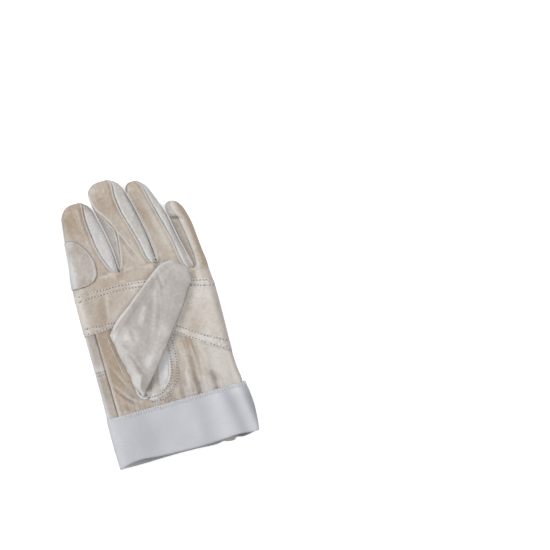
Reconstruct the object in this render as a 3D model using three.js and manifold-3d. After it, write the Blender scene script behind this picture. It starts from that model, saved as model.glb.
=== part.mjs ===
// Left-hand leather work glove with a wide elastic cuff and a hook-and-loop wrist strap.
// It lies on its back, palm up, with the thumb folded over the palm.
// Millimetres, +Z up, +Y from the cuff to the fingertips, -X the thumb side.
// Every panel is a thin shell over one smooth hand: a section at each Y is a squared-off ellipse,
// given by its left and right edges, its top, its bottom and the height of its side seams.

import * as THREE from "three";
import { mergeVertices } from "three/addons/utils/BufferGeometryUtils.js";
import Module from "manifold-3d";

const wasm = await Module();
wasm.setup();

// Thicknesses and gaps
const LEATHER = 1.2; // every leather panel
const ELASTIC = 1.6; // knitted cuff
const TAPE = 0.9; // hook tape and loop tape
const SEAM_GAP = 0.4; // two panels that meet edge to edge
const LAP_GAP = 0.3; // a panel and the one sewn over it
const STALL_GAP = 0.9; // neighbouring finger stalls
const THUMB_GAP = 0.5; // the folded thumb and the palm under it

// Lengths along the glove, from the cuff's lower edge
const CUFF_LENGTH = 43;
const CUFF_OVERLAP = 6; // leather that runs down inside the cuff
const PALM_Y = 120; // where the palm is widest
const KNUCKLE_Y = 163; // line where the finger stalls fold
const REST_Y = 103; // the origin, on the flat of the back

// The hand's section at the wrist, the palm and the knuckles
const WRIST = { left: -59.5, right: 58, top: 16 };
const PALM = { left: -60, right: 60, top: 18 };
const KNUCKLE = { left: -58.5, right: 59.2, top: 16 };
const SIDE_SEAM_Z = 7; // height of the seam between palm and back
const HAND_SQUARE = 3.4; // exponent of the hand's section
const BACK_SAG = 0.7; // how far the soft back is pressed flat on the table
const LIFT_END_Y = 64; // where the back comes down from the cuff to the table

// Crotches between the stalls, and the valleys that run from them into the palm
const CROTCHES = [
  { x: -15.7, y: 162 },
  { x: 18, y: 161 },
  { x: 45, y: 150 },
];
const VALLEY_LENGTH = 8;
const VALLEY_SPREAD = 3;
const VALLEY_DEPTH = 0.5;

// Palm band, lapped over the upper and lower palm: its edges at the thumb side, middle and far side
const LAP = 6;
const BAND_TOP = [153, 150.5, 137];
const BAND_FOOT = [117, 108, 73];

// Thumb-side gusset: its seam with the lower palm
const GUSSET_SEAM_X = -50;

// Finger stalls: edges shared by neighbours, as X at the knuckles, at EDGE_MID_Y and at EDGE_FAR_Y
const EDGE_MID_Y = 200;
const EDGE_FAR_Y = 237;
const STALL_EDGES = [
  [-58.5, -54, -49.7],
  [-15.7, -19.5, -29],
  [18, 14.2, 4.6],
  [44, 37, 23.4],
  [59.2, 54, 42.6],
];
const STALL_SQUARE = 2.4; // exponent of a stall's section past its base
const TIP_SHARE = 0.32; // width left at the blunt end of a fingertip
const TIP_ROUND = 2.2;
const LOW_SEAM = 0.35; // angle of a fourchette's lower seam under the side
const HIDDEN_SIDE = 0.8; // angle of the fourchette that lies under the ring stall

// Each stall: fingertip, height, and the front panel's edges as shares of the half width, from base to tip
const STALLS = [
  { name: "index", tip: 229.5, round: 12, shift: 0, top: 15, left: [-1, -1, -1], right: [0.85, 0.37, 0.85] },
  { name: "middle", tip: 242, round: 15, shift: 4, top: 15, left: [-0.95, -0.45, -0.95], right: [0.75, 0.32, 0.8] },
  { name: "ring", tip: 234.5, round: 11, shift: 0.5, top: 14.5, left: [-1, -1, -1], right: [0.55, 0.27, 0.85] },
  { name: "little", tip: 209.5, round: 10, shift: 0, top: 16, left: [-0.2, 0.12, 0], right: [1, 1, 1] },
];
const PATCH_TOP_Y = 199; // upper edge of the patch on the index stall
const PATCH_EDGE = [0.05, 0.1, -0.6]; // its inner edge, as shares of the half width

// Thumb stall: its fold line on the palm, the corners that its long edges run to, and its height
const THUMB_FOLD = { far: [-38, 113], near: [-25, 53] };
const THUMB_TIP = { far: [21, 162], near: [45, 146] };
const THUMB_HEIGHT = 11;
const THUMB_ROOT = 1.3; // height at the fold, where the stall is pinched
const THUMB_SIDE_SEAM = -0.72; // seam along the far side, as a share of the half width
const THUMB_FULL = 0.4; // share of the length where it reaches its height
const THUMB_ROUND = 0.22; // share of the length that the rounded tip takes
const THUMB_POINT = 2.5; // how much the underside narrows at the tip to clear the panel over it
const THUMB_MOUTH = 0.24; // share of the length left open to the palm's thumb hole
const MOUTH_MARGIN = 7; // from the ends of the fold to the hole's ends
const HOLE_INSET = 2; // from the fold to the thumb hole

// Saddle patch beside the thumb: the corners of its outer curve
const SADDLE_OUTER = [
  [15, 98],
  [17, 47],
  [-17, 47],
];
const SADDLE_INSET = 3; // from the thumb hole to the patch

// Cuff: outer edges at its mouth, middle and top, and the flat height of its mouth
const CUFF_LEFT = [-62.5, -62.3, -61.6];
const CUFF_RIGHT = [63.5, 65, 61];
const CUFF_TOP_Z = 17;

// Wrist strap on the back of the cuff, sewn at the thumb side
const STRAP_WIDTH = 22;
const STRAP_LENGTH = 90; // from the fold to the tab's end
const STRAP_ROOT = 12; // sewn end
const STRAP_FOLD = [-44, 24]; // middle of the line where the strap folds open
const STRAP_SLANT = -9.9; // degrees
const STRAP_DROP = 10; // length over which it comes down from the cuff
const HOOK_LENGTH = 34;
const LOOP_LENGTH = 46;
const TAPE_WIDTH = 18;
const HOOK_START = 48; // from the fold to the hook tape
const LOOP_START = 40;

const STRAP_TOP_Z = LEATHER + LAP_GAP + TAPE + LAP_GAP + TAPE; // underside of the loop tape's seat
const CUFF_FOOT_Z = STRAP_TOP_Z + LAP_GAP;
const WRIST_LIFT = CUFF_FOOT_Z + ELASTIC + LAP_GAP;

// Colours
const TAN = 0xc8b8a4;
const PALE = 0xd0ccc4;
const WHITE = 0xd9d9de;
const finish = (color, roughness) => new THREE.MeshStandardMaterial({ color, roughness, metalness: 0 });
const tanLeather = finish(TAN, 0.7);
const paleLeather = finish(PALE, 0.65);
const knit = finish(WHITE, 0.9);
const tape = finish(PALE, 0.95);

// Curves
const mix = (a, b, s) => a + (b - a) * s;
const mixPoint = (p, q, s) => [mix(p[0], q[0], s), mix(p[1], q[1], s)];
const clamp = (v, low, high) => Math.min(high, Math.max(low, v));
const steps = (count) => Array.from({ length: count + 1 }, (_, i) => i / count);

function smooth(v, from, to) {
  const s = clamp((v - from) / (to - from), 0, 1);
  return s * s * (3 - 2 * s);
}

// Quadratic through three values at the places a, b and c.
function through(v, [a, b, c], [fa, fb, fc]) {
  return (
    (fa * (v - b) * (v - c)) / ((a - b) * (a - c)) +
    (fb * (v - a) * (v - c)) / ((b - a) * (b - c)) +
    (fc * (v - a) * (v - b)) / ((c - a) * (c - b))
  );
}

const UNIT = [0, 0.5, 1];
const arch = (t, n) => Math.pow(Math.max(0, 1 - Math.pow(Math.abs(t), n)), 1 / n);
const bezier = ([p, q, r], s) => mixPoint(mixPoint(p, q, s), mixPoint(q, r, s), s);

// A closed shell between two grids of points. point(v, u, inner) gives a place on either face.
function shell(rows, columns, point) {
  const across = columns.length;
  const positions = [];
  for (const inner of [false, true])
    for (const v of rows) for (const u of columns) positions.push(...point(v, u, inner));
  const layer = rows.length * across;
  const faces = [];
  const quad = (a, b, c, d) => faces.push(a, b, c, a, c, d);
  for (let i = 0; i + 1 < rows.length; i++)
    for (let j = 0; j + 1 < across; j++) {
      const a = i * across + j;
      quad(a, a + 1, a + across + 1, a + across);
      quad(layer + a, layer + a + across, layer + a + across + 1, layer + a + 1);
    }
  const last = (rows.length - 1) * across;
  for (let j = 0; j + 1 < across; j++) {
    quad(j, layer + j, layer + j + 1, j + 1);
    quad(last + j, last + j + 1, layer + last + j + 1, layer + last + j);
  }
  for (let i = 0; i + 1 < rows.length; i++) {
    const a = i * across;
    const b = a + across - 1;
    quad(a, a + across, layer + a + across, layer + a);
    quad(b, layer + b, layer + b + across, b + across);
  }
  return facingOut(positions, faces);
}

// A closed tube between two loops of points, open at both ends.
function sleeve(rows, around, point) {
  const positions = [];
  for (const inner of [false, true])
    for (const v of rows) for (let j = 0; j < around; j++) positions.push(...point(v, j / around, inner));
  const layer = rows.length * around;
  const faces = [];
  const quad = (a, b, c, d) => faces.push(a, b, c, a, c, d);
  const last = (rows.length - 1) * around;
  for (let j = 0; j < around; j++) {
    const k = (j + 1) % around;
    for (let i = 0; i + 1 < rows.length; i++) {
      const a = i * around;
      quad(a + j, a + k, a + around + k, a + around + j);
      quad(layer + a + j, layer + a + around + j, layer + a + around + k, layer + a + k);
    }
    quad(j, layer + j, layer + k, k);
    quad(last + j, last + k, layer + last + k, layer + last + j);
  }
  return facingOut(positions, faces);
}

// A geometry of those faces, turned round where they would face inwards.
function facingOut(positions, faces) {
  const at = (i) => new THREE.Vector3(...positions.slice(3 * i, 3 * i + 3));
  let volume = 0;
  for (let i = 0; i < faces.length; i += 3)
    volume += at(faces[i]).dot(at(faces[i + 1]).cross(at(faces[i + 2])));
  if (volume < 0) faces.reverse();
  const geometry = new THREE.BufferGeometry();
  geometry.setAttribute("position", new THREE.Float32BufferAttribute(positions, 3));
  geometry.setIndex(faces);
  return geometry;
}

function manifold(geometry) {
  const bare = geometry.clone();
  for (const name of ["normal", "uv"]) bare.deleteAttribute(name);
  const merged = mergeVertices(bare, 1e-4);
  const vertProperties = merged.attributes.position.array;
  const triVerts = new Uint32Array(merged.index.array);
  return new wasm.Manifold(new wasm.Mesh({ numProp: 3, vertProperties, triVerts }));
}

function cut(geometry, cutter) {
  const mesh = manifold(geometry).subtract(manifold(cutter)).getMesh();
  const made = new THREE.BufferGeometry();
  made.setAttribute("position", new THREE.Float32BufferAttribute(mesh.vertProperties, mesh.numProp));
  made.setIndex(new THREE.Uint32BufferAttribute(mesh.triVerts, 1));
  return made;
}

function piece(name, geometry, material) {
  geometry.computeVertexNormals();
  const mesh = new THREE.Mesh(geometry, material);
  mesh.name = name;
  return mesh;
}

// The hand's section at y.
function handAt(y) {
  const places = [CUFF_LENGTH, PALM_Y, KNUCKLE_Y];
  const at = (key) => through(y, places, [WRIST[key], PALM[key], KNUCKLE[key]]);
  const bottom = WRIST_LIFT * (1 - smooth(y, CUFF_LENGTH, LIFT_END_Y));
  const seam = SIDE_SEAM_Z + (bottom * 2) / 3;
  return { left: at("left"), right: at("right"), top: at("top"), bottom, seam };
}

// How much of its rise the hand keeps at x, y: the valleys below the crotches take the rest.
function valleys(x, y) {
  let share = 1;
  for (const crotch of CROTCHES) {
    const near = Math.exp(-(((x - crotch.x) / VALLEY_SPREAD) ** 2));
    share -= VALLEY_DEPTH * near * smooth(y, crotch.y - VALLEY_LENGTH, crotch.y);
  }
  return share;
}

// A place on the palm side of the hand: t runs from -1 at the thumb side to 1, and depth goes inwards.
function palmPoint(t, y, depth) {
  const hand = handAt(y);
  const x = (hand.left + hand.right) / 2 + t * ((hand.right - hand.left) / 2 - depth);
  const foot = hand.seam + SEAM_GAP / 2;
  const rise = (hand.top - foot) * arch(t, HAND_SQUARE) * valleys(x, y);
  return [x, y, Math.max(foot, foot + rise - depth)];
}

// The same on the back of the hand, which lies flat on the table.
function backPoint(t, y, depth) {
  const hand = handAt(y);
  const x = (hand.left + hand.right) / 2 + t * ((hand.right - hand.left) / 2 - depth);
  const head = hand.seam - SEAM_GAP / 2;
  const fall = (head - hand.bottom + BACK_SAG) * arch(t, HAND_SQUARE) * valleys(x, y);
  return [x, y, Math.min(head, Math.max(hand.bottom, head - fall) + depth)];
}

// The share t at which the hand reaches x.
function shareAt(x, y) {
  const hand = handAt(y);
  return (2 * x - hand.left - hand.right) / (hand.right - hand.left);
}

const xAt = (t, y) => palmPoint(t, y, 0)[0];
const ACROSS = [-1, 0, 1];
const bandTop = (t) => through(t, ACROSS, BAND_TOP);
const bandFoot = (t) => through(t, ACROSS, BAND_FOOT);
const LEATHER_FOOT_Y = CUFF_LENGTH - CUFF_OVERLAP;
const OVERLAY = LAP_GAP + LEATHER; // how far a sewn-on panel stands proud

// Columns across the hand, close together at the side seams and the valleys.
function handColumns() {
  const bounds = [-1, ...CROTCHES.map((crotch) => shareAt(crotch.x, KNUCKLE_Y)), 1];
  const shares = [0, 0.04, 0.14, 0.36, 0.64, 0.86, 0.96];
  const columns = [];
  for (let k = 0; k + 1 < bounds.length; k++) columns.push(...shares.map((s) => mix(bounds[k], bounds[k + 1], s)));
  return [...columns, 1];
}

function palmUpper() {
  const point = (v, t, inner) =>
    palmPoint(t, mix(bandTop(t) - LAP, KNUCKLE_Y - SEAM_GAP / 2, v), inner ? LEATHER : 0);
  return piece("palm_upper", shell(steps(5), handColumns(), point), tanLeather);
}

function palmBand() {
  const point = (v, t, inner) => palmPoint(t, mix(bandFoot(t), bandTop(t), v), inner ? -LAP_GAP : -OVERLAY);
  return piece("palm_band", shell(steps(5), handColumns(), point), paleLeather);
}

// Columns across the lower palm, from the gusset's seam to the far side.
function lowerColumn(u, y) {
  const seam = shareAt(GUSSET_SEAM_X + SEAM_GAP / 2, y);
  return mix(seam, 1, 1 - (1 - u) ** 2);
}

function palmLower() {
  const point = (v, u, inner) => {
    const top = bandFoot(lowerColumn(u, PALM_Y)) + LAP;
    const y = mix(LEATHER_FOOT_Y, top, v);
    return palmPoint(lowerColumn(u, y), y, inner ? LEATHER : 0);
  };
  return piece("palm_lower", cut(shell(steps(8), steps(13), point), thumbHole()), tanLeather);
}

// The slot in the palm under the thumb's fold, through which the thumb goes in.
function thumbHole() {
  const [far, near] = [new THREE.Vector2(...THUMB_FOLD.far), new THREE.Vector2(...THUMB_FOLD.near)];
  const along = near.clone().sub(far);
  const length = along.length() - 2 * MOUTH_MARGIN;
  const width = holeWidth();
  const slot = new THREE.Shape();
  const radius = width / 2;
  slot.absarc(radius - length / 2, 0, radius, Math.PI / 2, (3 * Math.PI) / 2);
  slot.absarc(length / 2 - radius, 0, radius, -Math.PI / 2, Math.PI / 2);
  const cutter = new THREE.ExtrudeGeometry(slot, { depth: PALM.top, bevelEnabled: false, curveSegments: 5 });
  const offset = HOLE_INSET + radius;
  cutter.rotateZ(along.angle());
  const middle = far.clone().add(near).multiplyScalar(0.5).add(thumbward().multiplyScalar(offset));
  cutter.translate(middle.x, middle.y, SIDE_SEAM_Z + SEAM_GAP);
  return cutter;
}

// Unit vector in plan from the thumb's fold towards its tip side.
function thumbward() {
  const along = new THREE.Vector2(...THUMB_FOLD.near).sub(new THREE.Vector2(...THUMB_FOLD.far)).normalize();
  return new THREE.Vector2(-along.y, along.x);
}

const thumbReach = () => {
  const [foldMiddle, tipMiddle] = [THUMB_FOLD, THUMB_TIP].map((line) => mixPoint(line.far, line.near, 0.5));
  return new THREE.Vector2(tipMiddle[0] - foldMiddle[0], tipMiddle[1] - foldMiddle[1]).dot(thumbward());
};
const holeWidth = () => THUMB_MOUTH * thumbReach() - HOLE_INSET;

function thumbGusset() {
  const point = (v, u, inner) => {
    const y = mix(LEATHER_FOOT_Y, bandFoot(-1) - SEAM_GAP, v);
    const seam = Math.acos(-(Math.abs(shareAt(GUSSET_SEAM_X - SEAM_GAP / 2, y)) ** (HAND_SQUARE / 2)));
    const angle = mix(seam, Math.PI, u);
    return palmPoint(-(Math.abs(Math.cos(angle)) ** (2 / HAND_SQUARE)), y, inner ? LEATHER : 0);
  };
  return piece("thumb_gusset", shell(steps(7), steps(7), point), paleLeather);
}

function backPanel() {
  const point = (v, t, inner) =>
    backPoint(t, mix(LEATHER_FOOT_Y, KNUCKLE_Y - SEAM_GAP / 2, v), inner ? LEATHER : 0);
  return piece("back_panel", shell(steps(14), handColumns(), point), paleLeather);
}

// Places on the saddle patch: v from the band round to the cuff side, u from the thumb hole outwards.
function saddlePatch() {
  const inset = THUMB_MOUTH * thumbReach() + SADDLE_INSET;
  const side = thumbward();
  const innerEdge = (v) => {
    const fold = mixPoint(THUMB_FOLD.far, THUMB_FOLD.near, mix(0.16, 0.9, v));
    return [fold[0] + side.x * inset, fold[1] + side.y * inset];
  };
  const point = (v, u, inner) => {
    const [x, y] = mixPoint(innerEdge(v), bezier(SADDLE_OUTER, v), u);
    return palmPoint(shareAt(x, y), y, inner ? -LAP_GAP : -OVERLAY);
  };
  return piece("saddle_patch", shell(steps(9), steps(4), point), paleLeather);
}

// The cuff's section at y, with its foot pressed flat on the strap.
function cuffPoint(y, angle, depth) {
  const places = [0, CUFF_LENGTH / 2, CUFF_LENGTH];
  const left = through(y, places, CUFF_LEFT) + depth;
  const right = through(y, places, CUFF_RIGHT) - depth;
  const head = mix(CUFF_TOP_Z, WRIST.top + LAP_GAP + ELASTIC, y / CUFF_LENGTH) - depth;
  const foot = CUFF_FOOT_Z + depth;
  const seam = mix(CUFF_FOOT_Z, head, 0.5);
  const c = Math.cos(angle);
  const s = Math.sin(angle);
  const x = (left + right) / 2 + (Math.sign(c) * Math.abs(c) ** (2 / HAND_SQUARE) * (right - left)) / 2;
  const level = Math.abs(s) ** (2 / HAND_SQUARE);
  const z = s > 0 ? seam + (head - seam) * level : Math.max(foot, seam - (seam - foot + BACK_SAG) * level);
  return [x, y, z];
}

function elasticCuff() {
  const point = (v, u, inner) => cuffPoint(v * CUFF_LENGTH, 2 * Math.PI * u, inner ? ELASTIC : 0);
  return piece("elastic_cuff", sleeve(steps(4), 44, point), knit);
}

// Stalls. An edge that neighbours share, at y.
const stallEdge = (k, y) => through(y, [KNUCKLE_Y, EDGE_MID_Y, EDGE_FAR_Y], STALL_EDGES[k]);

// The section of stall k at y, and how far along the stall that is.
function stallAt(k, y) {
  const stall = STALLS[k];
  const left = stallEdge(k, y) + (k > 0 ? STALL_GAP / 2 : 0);
  const right = stallEdge(k + 1, y) - (k < STALLS.length - 1 ? STALL_GAP / 2 : 0);
  const along = clamp((y - KNUCKLE_Y) / (stall.tip - KNUCKLE_Y), 0, 1);
  const r = clamp((y - stall.tip + stall.round) / stall.round, 0, 1);
  const round = arch(r, TIP_ROUND);
  const closed = LEATHER + SEAM_GAP / 2;
  const top = mix(KNUCKLE.top, stall.top, smooth(along, 0, 0.5));
  return {
    along,
    centre: (left + right) / 2 + stall.shift * r * r,
    half: ((right - left) / 2) * mix(TIP_SHARE, 1, round),
    up: mix(closed, top - SIDE_SEAM_Z, round),
    down: mix(closed, SIDE_SEAM_Z, round),
    square: mix(HAND_SQUARE, STALL_SQUARE, smooth(along, 0, 0.4)),
  };
}

// A place on stall k: the angle runs from the far side over the front to the thumb side and under.
function stallPoint(k, y, angle, depth) {
  const section = stallAt(k, y);
  const c = Math.cos(angle);
  const s = Math.sin(angle);
  const power = 2 / section.square;
  const height = (s > 0 ? section.up : section.down) - depth;
  return [
    section.centre + (section.half - depth) * Math.sign(c) * Math.abs(c) ** power,
    y,
    SIDE_SEAM_Z + height * Math.sign(s) * Math.abs(s) ** power,
  ];
}

// The angle of a seam that lies at a share of the half width, moved by half a seam gap.
function seamAngle(k, y, share, aside) {
  const section = stallAt(k, y);
  const angle = Math.acos(clamp(Math.sign(share) * Math.abs(share) ** (section.square / 2), -1, 1));
  return besideSeam(k, y, angle, aside);
}

function besideSeam(k, y, angle, aside) {
  const nudge = 0.02;
  const before = new THREE.Vector3(...stallPoint(k, y, angle - nudge, 0));
  const after = new THREE.Vector3(...stallPoint(k, y, angle + nudge, 0));
  return angle + (aside * SEAM_GAP * nudge) / before.distanceTo(after);
}

// The stall's rows: even along the stall, then closer round the tip.
function stallRows(k) {
  const stall = STALLS[k];
  const straight = stall.tip - stall.round;
  const even = steps(6).map((s) => mix(KNUCKLE_Y + SEAM_GAP / 2, straight, s));
  const rounded = steps(5).slice(1).map((s) => straight + stall.round * Math.sin((s * Math.PI) / 2));
  return [...even, ...rounded];
}

// A panel of stall k between two seams, each given as (y, side) => angle.
function stallPanel(k, name, columns, from, to, material) {
  const point = (y, u, inner) => stallPoint(k, y, mix(from(y), to(y), u), inner ? LEATHER : 0);
  return piece(name, shell(stallRows(k), steps(columns), point), material);
}

// Front, back and fourchettes of stall k. The outer stalls have no fourchette on their outer side.
function stallPanels(k) {
  const stall = STALLS[k];
  const first = k === 0;
  const last = k === STALLS.length - 1;
  const share = (key) => (y) => through(stallAt(k, y).along, UNIT, stall[key]);
  const rightLow = last ? 0 : -LOW_SEAM;
  const leftLow = Math.PI + (first ? 0 : stall.left[1] === -1 ? HIDDEN_SIDE : LOW_SEAM);
  const frontRight = (aside) => (y) => seamAngle(k, y, share("right")(y), aside);
  const frontLeft = (aside) => (y) => seamAngle(k, y, share("left")(y), aside);
  const low = (angle, aside) => (y) => besideSeam(k, y, angle, aside);
  const panels = [
    stallPanel(k, `${stall.name}_front`, 8, frontRight(1), frontLeft(-1), tanLeather),
    stallPanel(k, `${stall.name}_back`, 9, low(leftLow, 1), low(2 * Math.PI + rightLow, -1), paleLeather),
  ];
  if (!first)
    panels.push(
      stallPanel(k, `${stall.name}_fourchette_thumb_side`, 4, frontLeft(1), low(leftLow, -1), paleLeather),
    );
  if (!last)
    panels.push(
      stallPanel(k, `${stall.name}_fourchette_far_side`, 4, low(rightLow, 1), frontRight(-1), paleLeather),
    );
  return panels;
}

function indexPatch() {
  const point = (v, u, inner) => {
    const y = mix(KNUCKLE_Y + LAP_GAP + SEAM_GAP, PATCH_TOP_Y, v);
    const edge = seamAngle(0, y, through(v, UNIT, PATCH_EDGE), 0);
    return stallPoint(0, y, mix(edge, Math.PI, u), inner ? -LAP_GAP : -OVERLAY);
  };
  return piece("index_patch", shell(steps(8), steps(6), point), paleLeather);
}

// The thumb stall at s from the fold to the tip and t across, as [x, y] in plan and the palm's height there.
function thumbPlan(s, t, depth) {
  const far = new THREE.Vector2(...mixPoint(THUMB_FOLD.far, THUMB_TIP.far, s));
  const near = new THREE.Vector2(...mixPoint(THUMB_FOLD.near, THUMB_TIP.near, s));
  const half = near.clone().sub(far).multiplyScalar(0.5);
  const width = half.length() * mix(TIP_SHARE, 1, thumbRound(s));
  const place = far.add(half).add(half.clone().setLength(t * (width - depth)));
  const [x, y] = [place.x, place.y];
  const palm = palmPoint(shareAt(x, y), y, 0)[2];
  return { x, y, floor: palm + OVERLAY + THUMB_GAP };
}

const thumbRound = (s) => arch(clamp((s - 1 + THUMB_ROUND) / THUMB_ROUND, 0, 1), TIP_ROUND);

function thumbHeight(s) {
  const full = mix(THUMB_ROOT, THUMB_HEIGHT, smooth(s, -THUMB_FULL / 2, THUMB_FULL));
  const rooted = mix(THUMB_ROOT, full, smooth(s, 0, THUMB_FULL / 3));
  return mix(2 * LEATHER + SEAM_GAP, rooted, s < 0.5 ? 1 : thumbRound(s));
}

const thumbRows = (from) => {
  const straight = 1 - THUMB_ROUND;
  const even = steps(7).map((s) => mix(from, straight, s));
  const rounded = steps(5).slice(1).map((s) => straight + THUMB_ROUND * Math.sin((s * Math.PI) / 2));
  return [...even, ...rounded];
};

// A panel over the thumb between two shares of its half width.
function thumbOver(name, from, to, columns) {
  const point = (s, u, inner) => {
    const t = clamp(mix(from + thumbSeam(s, from), to - thumbSeam(s, to), u), -1, 1);
    const depth = inner ? LEATHER : 0;
    const { x, y, floor } = thumbPlan(s, t, depth);
    const height = thumbHeight(s) * arch(t, STALL_SQUARE);
    return [x, y, floor + Math.max(0, height - depth)];
  };
  return piece(name, shell(thumbRows(SEAM_GAP / thumbReach()), columns, point), paleLeather);
}

// Half a seam gap as a share of the half width, at an edge that is a seam between two panels.
function thumbSeam(s, edge) {
  const far = new THREE.Vector2(...mixPoint(THUMB_FOLD.far, THUMB_TIP.far, s));
  const near = new THREE.Vector2(...mixPoint(THUMB_FOLD.near, THUMB_TIP.near, s));
  const width = (far.distanceTo(near) / 2) * mix(TIP_SHARE, 1, thumbRound(s));
  return Math.abs(edge) < 1 ? SEAM_GAP / 2 / width : 0;
}

// The wide panel that shows while the thumb is folded, and the narrow one along its far side.
function thumbBack() {
  const columns = steps(9).map((s) => Math.sin((s * Math.PI) / 2));
  return thumbOver("thumb_back", THUMB_SIDE_SEAM, 1, columns);
}

function thumbSide() {
  return thumbOver("thumb_side", -1, THUMB_SIDE_SEAM, steps(4).map((s) => s * s));
}

// The panel that lies on the palm. It starts past the mouth over the thumb hole.
function thumbFront() {
  const point = (s, t, inner) => {
    const { x, y, floor } = thumbPlan(s, t, LEATHER + 2 * SEAM_GAP + THUMB_POINT * (1 - thumbRound(s)));
    return [x, y, floor + (inner ? LEATHER : 0)];
  };
  return piece("thumb_front", shell(thumbRows(THUMB_MOUTH), steps(8).map((s) => 2 * s - 1), point), paleLeather);
}

// Strap pieces are drawn along their own length, from the fold, and turned into place by their group.
function strapSlab(name, from, to, width, z, thickness, material) {
  const slab = new THREE.BoxGeometry(to - from, width, thickness);
  slab.translate((from + to) / 2, 0, z + thickness / 2);
  return piece(name, slab, material);
}

function strapFlap() {
  const seat = STRAP_TOP_Z - LEATHER;
  const start = SEAM_GAP / 2;
  const fall = (s) => seat * (1 - smooth(s, 0, 1));
  const places = steps(6).map((s) => [mix(start, STRAP_DROP, s), fall(s)]);
  places.push([STRAP_LENGTH, 0]);
  const point = (v, u, inner) => [
    places[v][0],
    mix(-STRAP_WIDTH / 2, STRAP_WIDTH / 2, u),
    places[v][1] + (inner ? LEATHER : 0),
  ];
  return piece("strap_flap", shell([...places.keys()], steps(2), point), tanLeather);
}

function strapGroup() {
  const group = new THREE.Group();
  group.position.set(...STRAP_FOLD, 0);
  group.rotation.z = THREE.MathUtils.degToRad(STRAP_SLANT);
  const seat = STRAP_TOP_Z - LEATHER;
  const hookZ = LEATHER + LAP_GAP;
  group.add(
    strapFlap(),
    strapSlab("strap_root", -STRAP_ROOT, -SEAM_GAP / 2, STRAP_WIDTH, seat, LEATHER, tanLeather),
    strapSlab("hook_tape", HOOK_START, HOOK_START + HOOK_LENGTH, TAPE_WIDTH, hookZ, TAPE, tape),
    strapSlab("loop_tape", LOOP_START, LOOP_START + LOOP_LENGTH, TAPE_WIDTH, STRAP_TOP_Z - TAPE, TAPE, tape),
  );
  return group;
}

const glove = new THREE.Group();
glove.add(palmUpper(), palmBand(), palmLower(), saddlePatch(), thumbGusset(), backPanel(), elasticCuff());
STALLS.forEach((_, k) => glove.add(...stallPanels(k)));
glove.add(indexPatch(), thumbBack(), thumbSide(), thumbFront(), strapGroup());
glove.position.y = -REST_Y;

export default glove;
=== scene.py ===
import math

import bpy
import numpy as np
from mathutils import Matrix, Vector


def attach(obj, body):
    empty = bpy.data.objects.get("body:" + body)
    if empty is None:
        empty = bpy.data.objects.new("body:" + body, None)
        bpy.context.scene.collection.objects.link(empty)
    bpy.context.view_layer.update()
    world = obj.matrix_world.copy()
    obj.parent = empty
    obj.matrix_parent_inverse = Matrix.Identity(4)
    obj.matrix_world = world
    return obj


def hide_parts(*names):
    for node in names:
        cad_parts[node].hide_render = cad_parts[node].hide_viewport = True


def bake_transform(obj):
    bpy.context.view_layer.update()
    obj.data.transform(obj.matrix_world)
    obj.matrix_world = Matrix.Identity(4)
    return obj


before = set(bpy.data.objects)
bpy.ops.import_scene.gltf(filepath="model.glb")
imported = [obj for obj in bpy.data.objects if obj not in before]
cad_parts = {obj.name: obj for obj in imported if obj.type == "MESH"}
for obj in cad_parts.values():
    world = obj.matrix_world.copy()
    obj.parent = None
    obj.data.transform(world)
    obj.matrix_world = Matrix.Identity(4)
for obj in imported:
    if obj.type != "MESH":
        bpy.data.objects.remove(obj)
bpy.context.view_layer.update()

# Left-hand leather work glove, palm up, dressed over its CAD frame.
# Lengths are in millimetres in the glove's own axes, with Y from the cuff's lower edge,
# until a mesh is made: that is in metres in the row frame.

REST_Y = 103.0
LEATHER = 1.2
LAP_GAP = 0.3
OVERLAY = LEATHER + LAP_GAP
PATCH_GAP = 0.08
SEAM_Z = 7.0
SEAM_HALF = 0.2
SEAM_GAP = 0.15
SQUARE = 3.4
KNUCKLE_Y = 163.0
FLEX_HALF = 6.0

# Hand: edges and top from the cuff to the finger bases
HAND_START = 37.0
HALF_HAND = 60.0
HAND_RISE = 11.0
LEFT_EDGE = ([36, 43, 60, 118, 145, 163, 180, 195], [-59.6, -60.6, -60.4, -60, -59.5, -58.2, -55.7, -54.5])
RIGHT_EDGE = (
    [36, 43, 47, 53, 60, 75, 100, 127, 150, 163, 180, 195],
    [59.6, 60.6, 60.6, 59.6, 59, 58.8, 59.5, 60, 58.9, 57.4, 56, 54],
)
HAND_TOP = ([36, 43, 52, 70, 100, 130, 150, 163, 195], [15.7, 15.9, 16.9, 17.5, 18, 17.9, 17, 16, 15.4])
WRIST_LIFT = 5.8
LIFT_END_Y = 64.0
BACK_END_Y = 150.0
LOWER_MIDDLE_Y = 80.0
GUSSET_X = -50.8
GUSSET_EDGE_X = -59.2
GUSSET_END_Y = 121.5
GUSSET_ROWS = (81.2, 84.0)
GUSSET_SEAM_Y = 82.5

# Lines between the stalls, from the palm to the fingertips, and the crotches on them
BOUNDS = [
    ([36, 118, 145, 163, 180, 200, 213, 221, 230], [-60, -60, -59.5, -58.2, -55.7, -54, -52.4, -51.2, -49.8]),
    ([36, 163, 180, 200, 215, 222, 232, 242], [-15.8, -15.8, -16.5, -19.4, -22.6, -24, -25, -25.5]),
    ([36, 163, 180, 200, 215, 225, 232, 242], [18, 18, 17, 14.2, 11, 8.6, 6.9, 5.4]),
    ([36, 140, 150, 163, 180, 200, 215, 225, 236], [47, 47, 46.4, 44, 40.4, 37, 32.4, 28.6, 24.4]),
    ([36, 150, 163, 175, 187, 199, 205, 212], [59.2, 58.8, 57.4, 56.5, 55.4, 52.6, 50.6, 48.8]),
]
CROTCH_Y = [162.0, 161.0, 148.6]
STALL_GAP = 0.7
GAP_REACH = 5.0
SEAM_REACH = 2.0
# Painted shade of the pits where the seams end at the crotches: size and how dark
PIT_SIZE = (1.304, 1.304)
PIT_SHADE = 0.55
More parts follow.
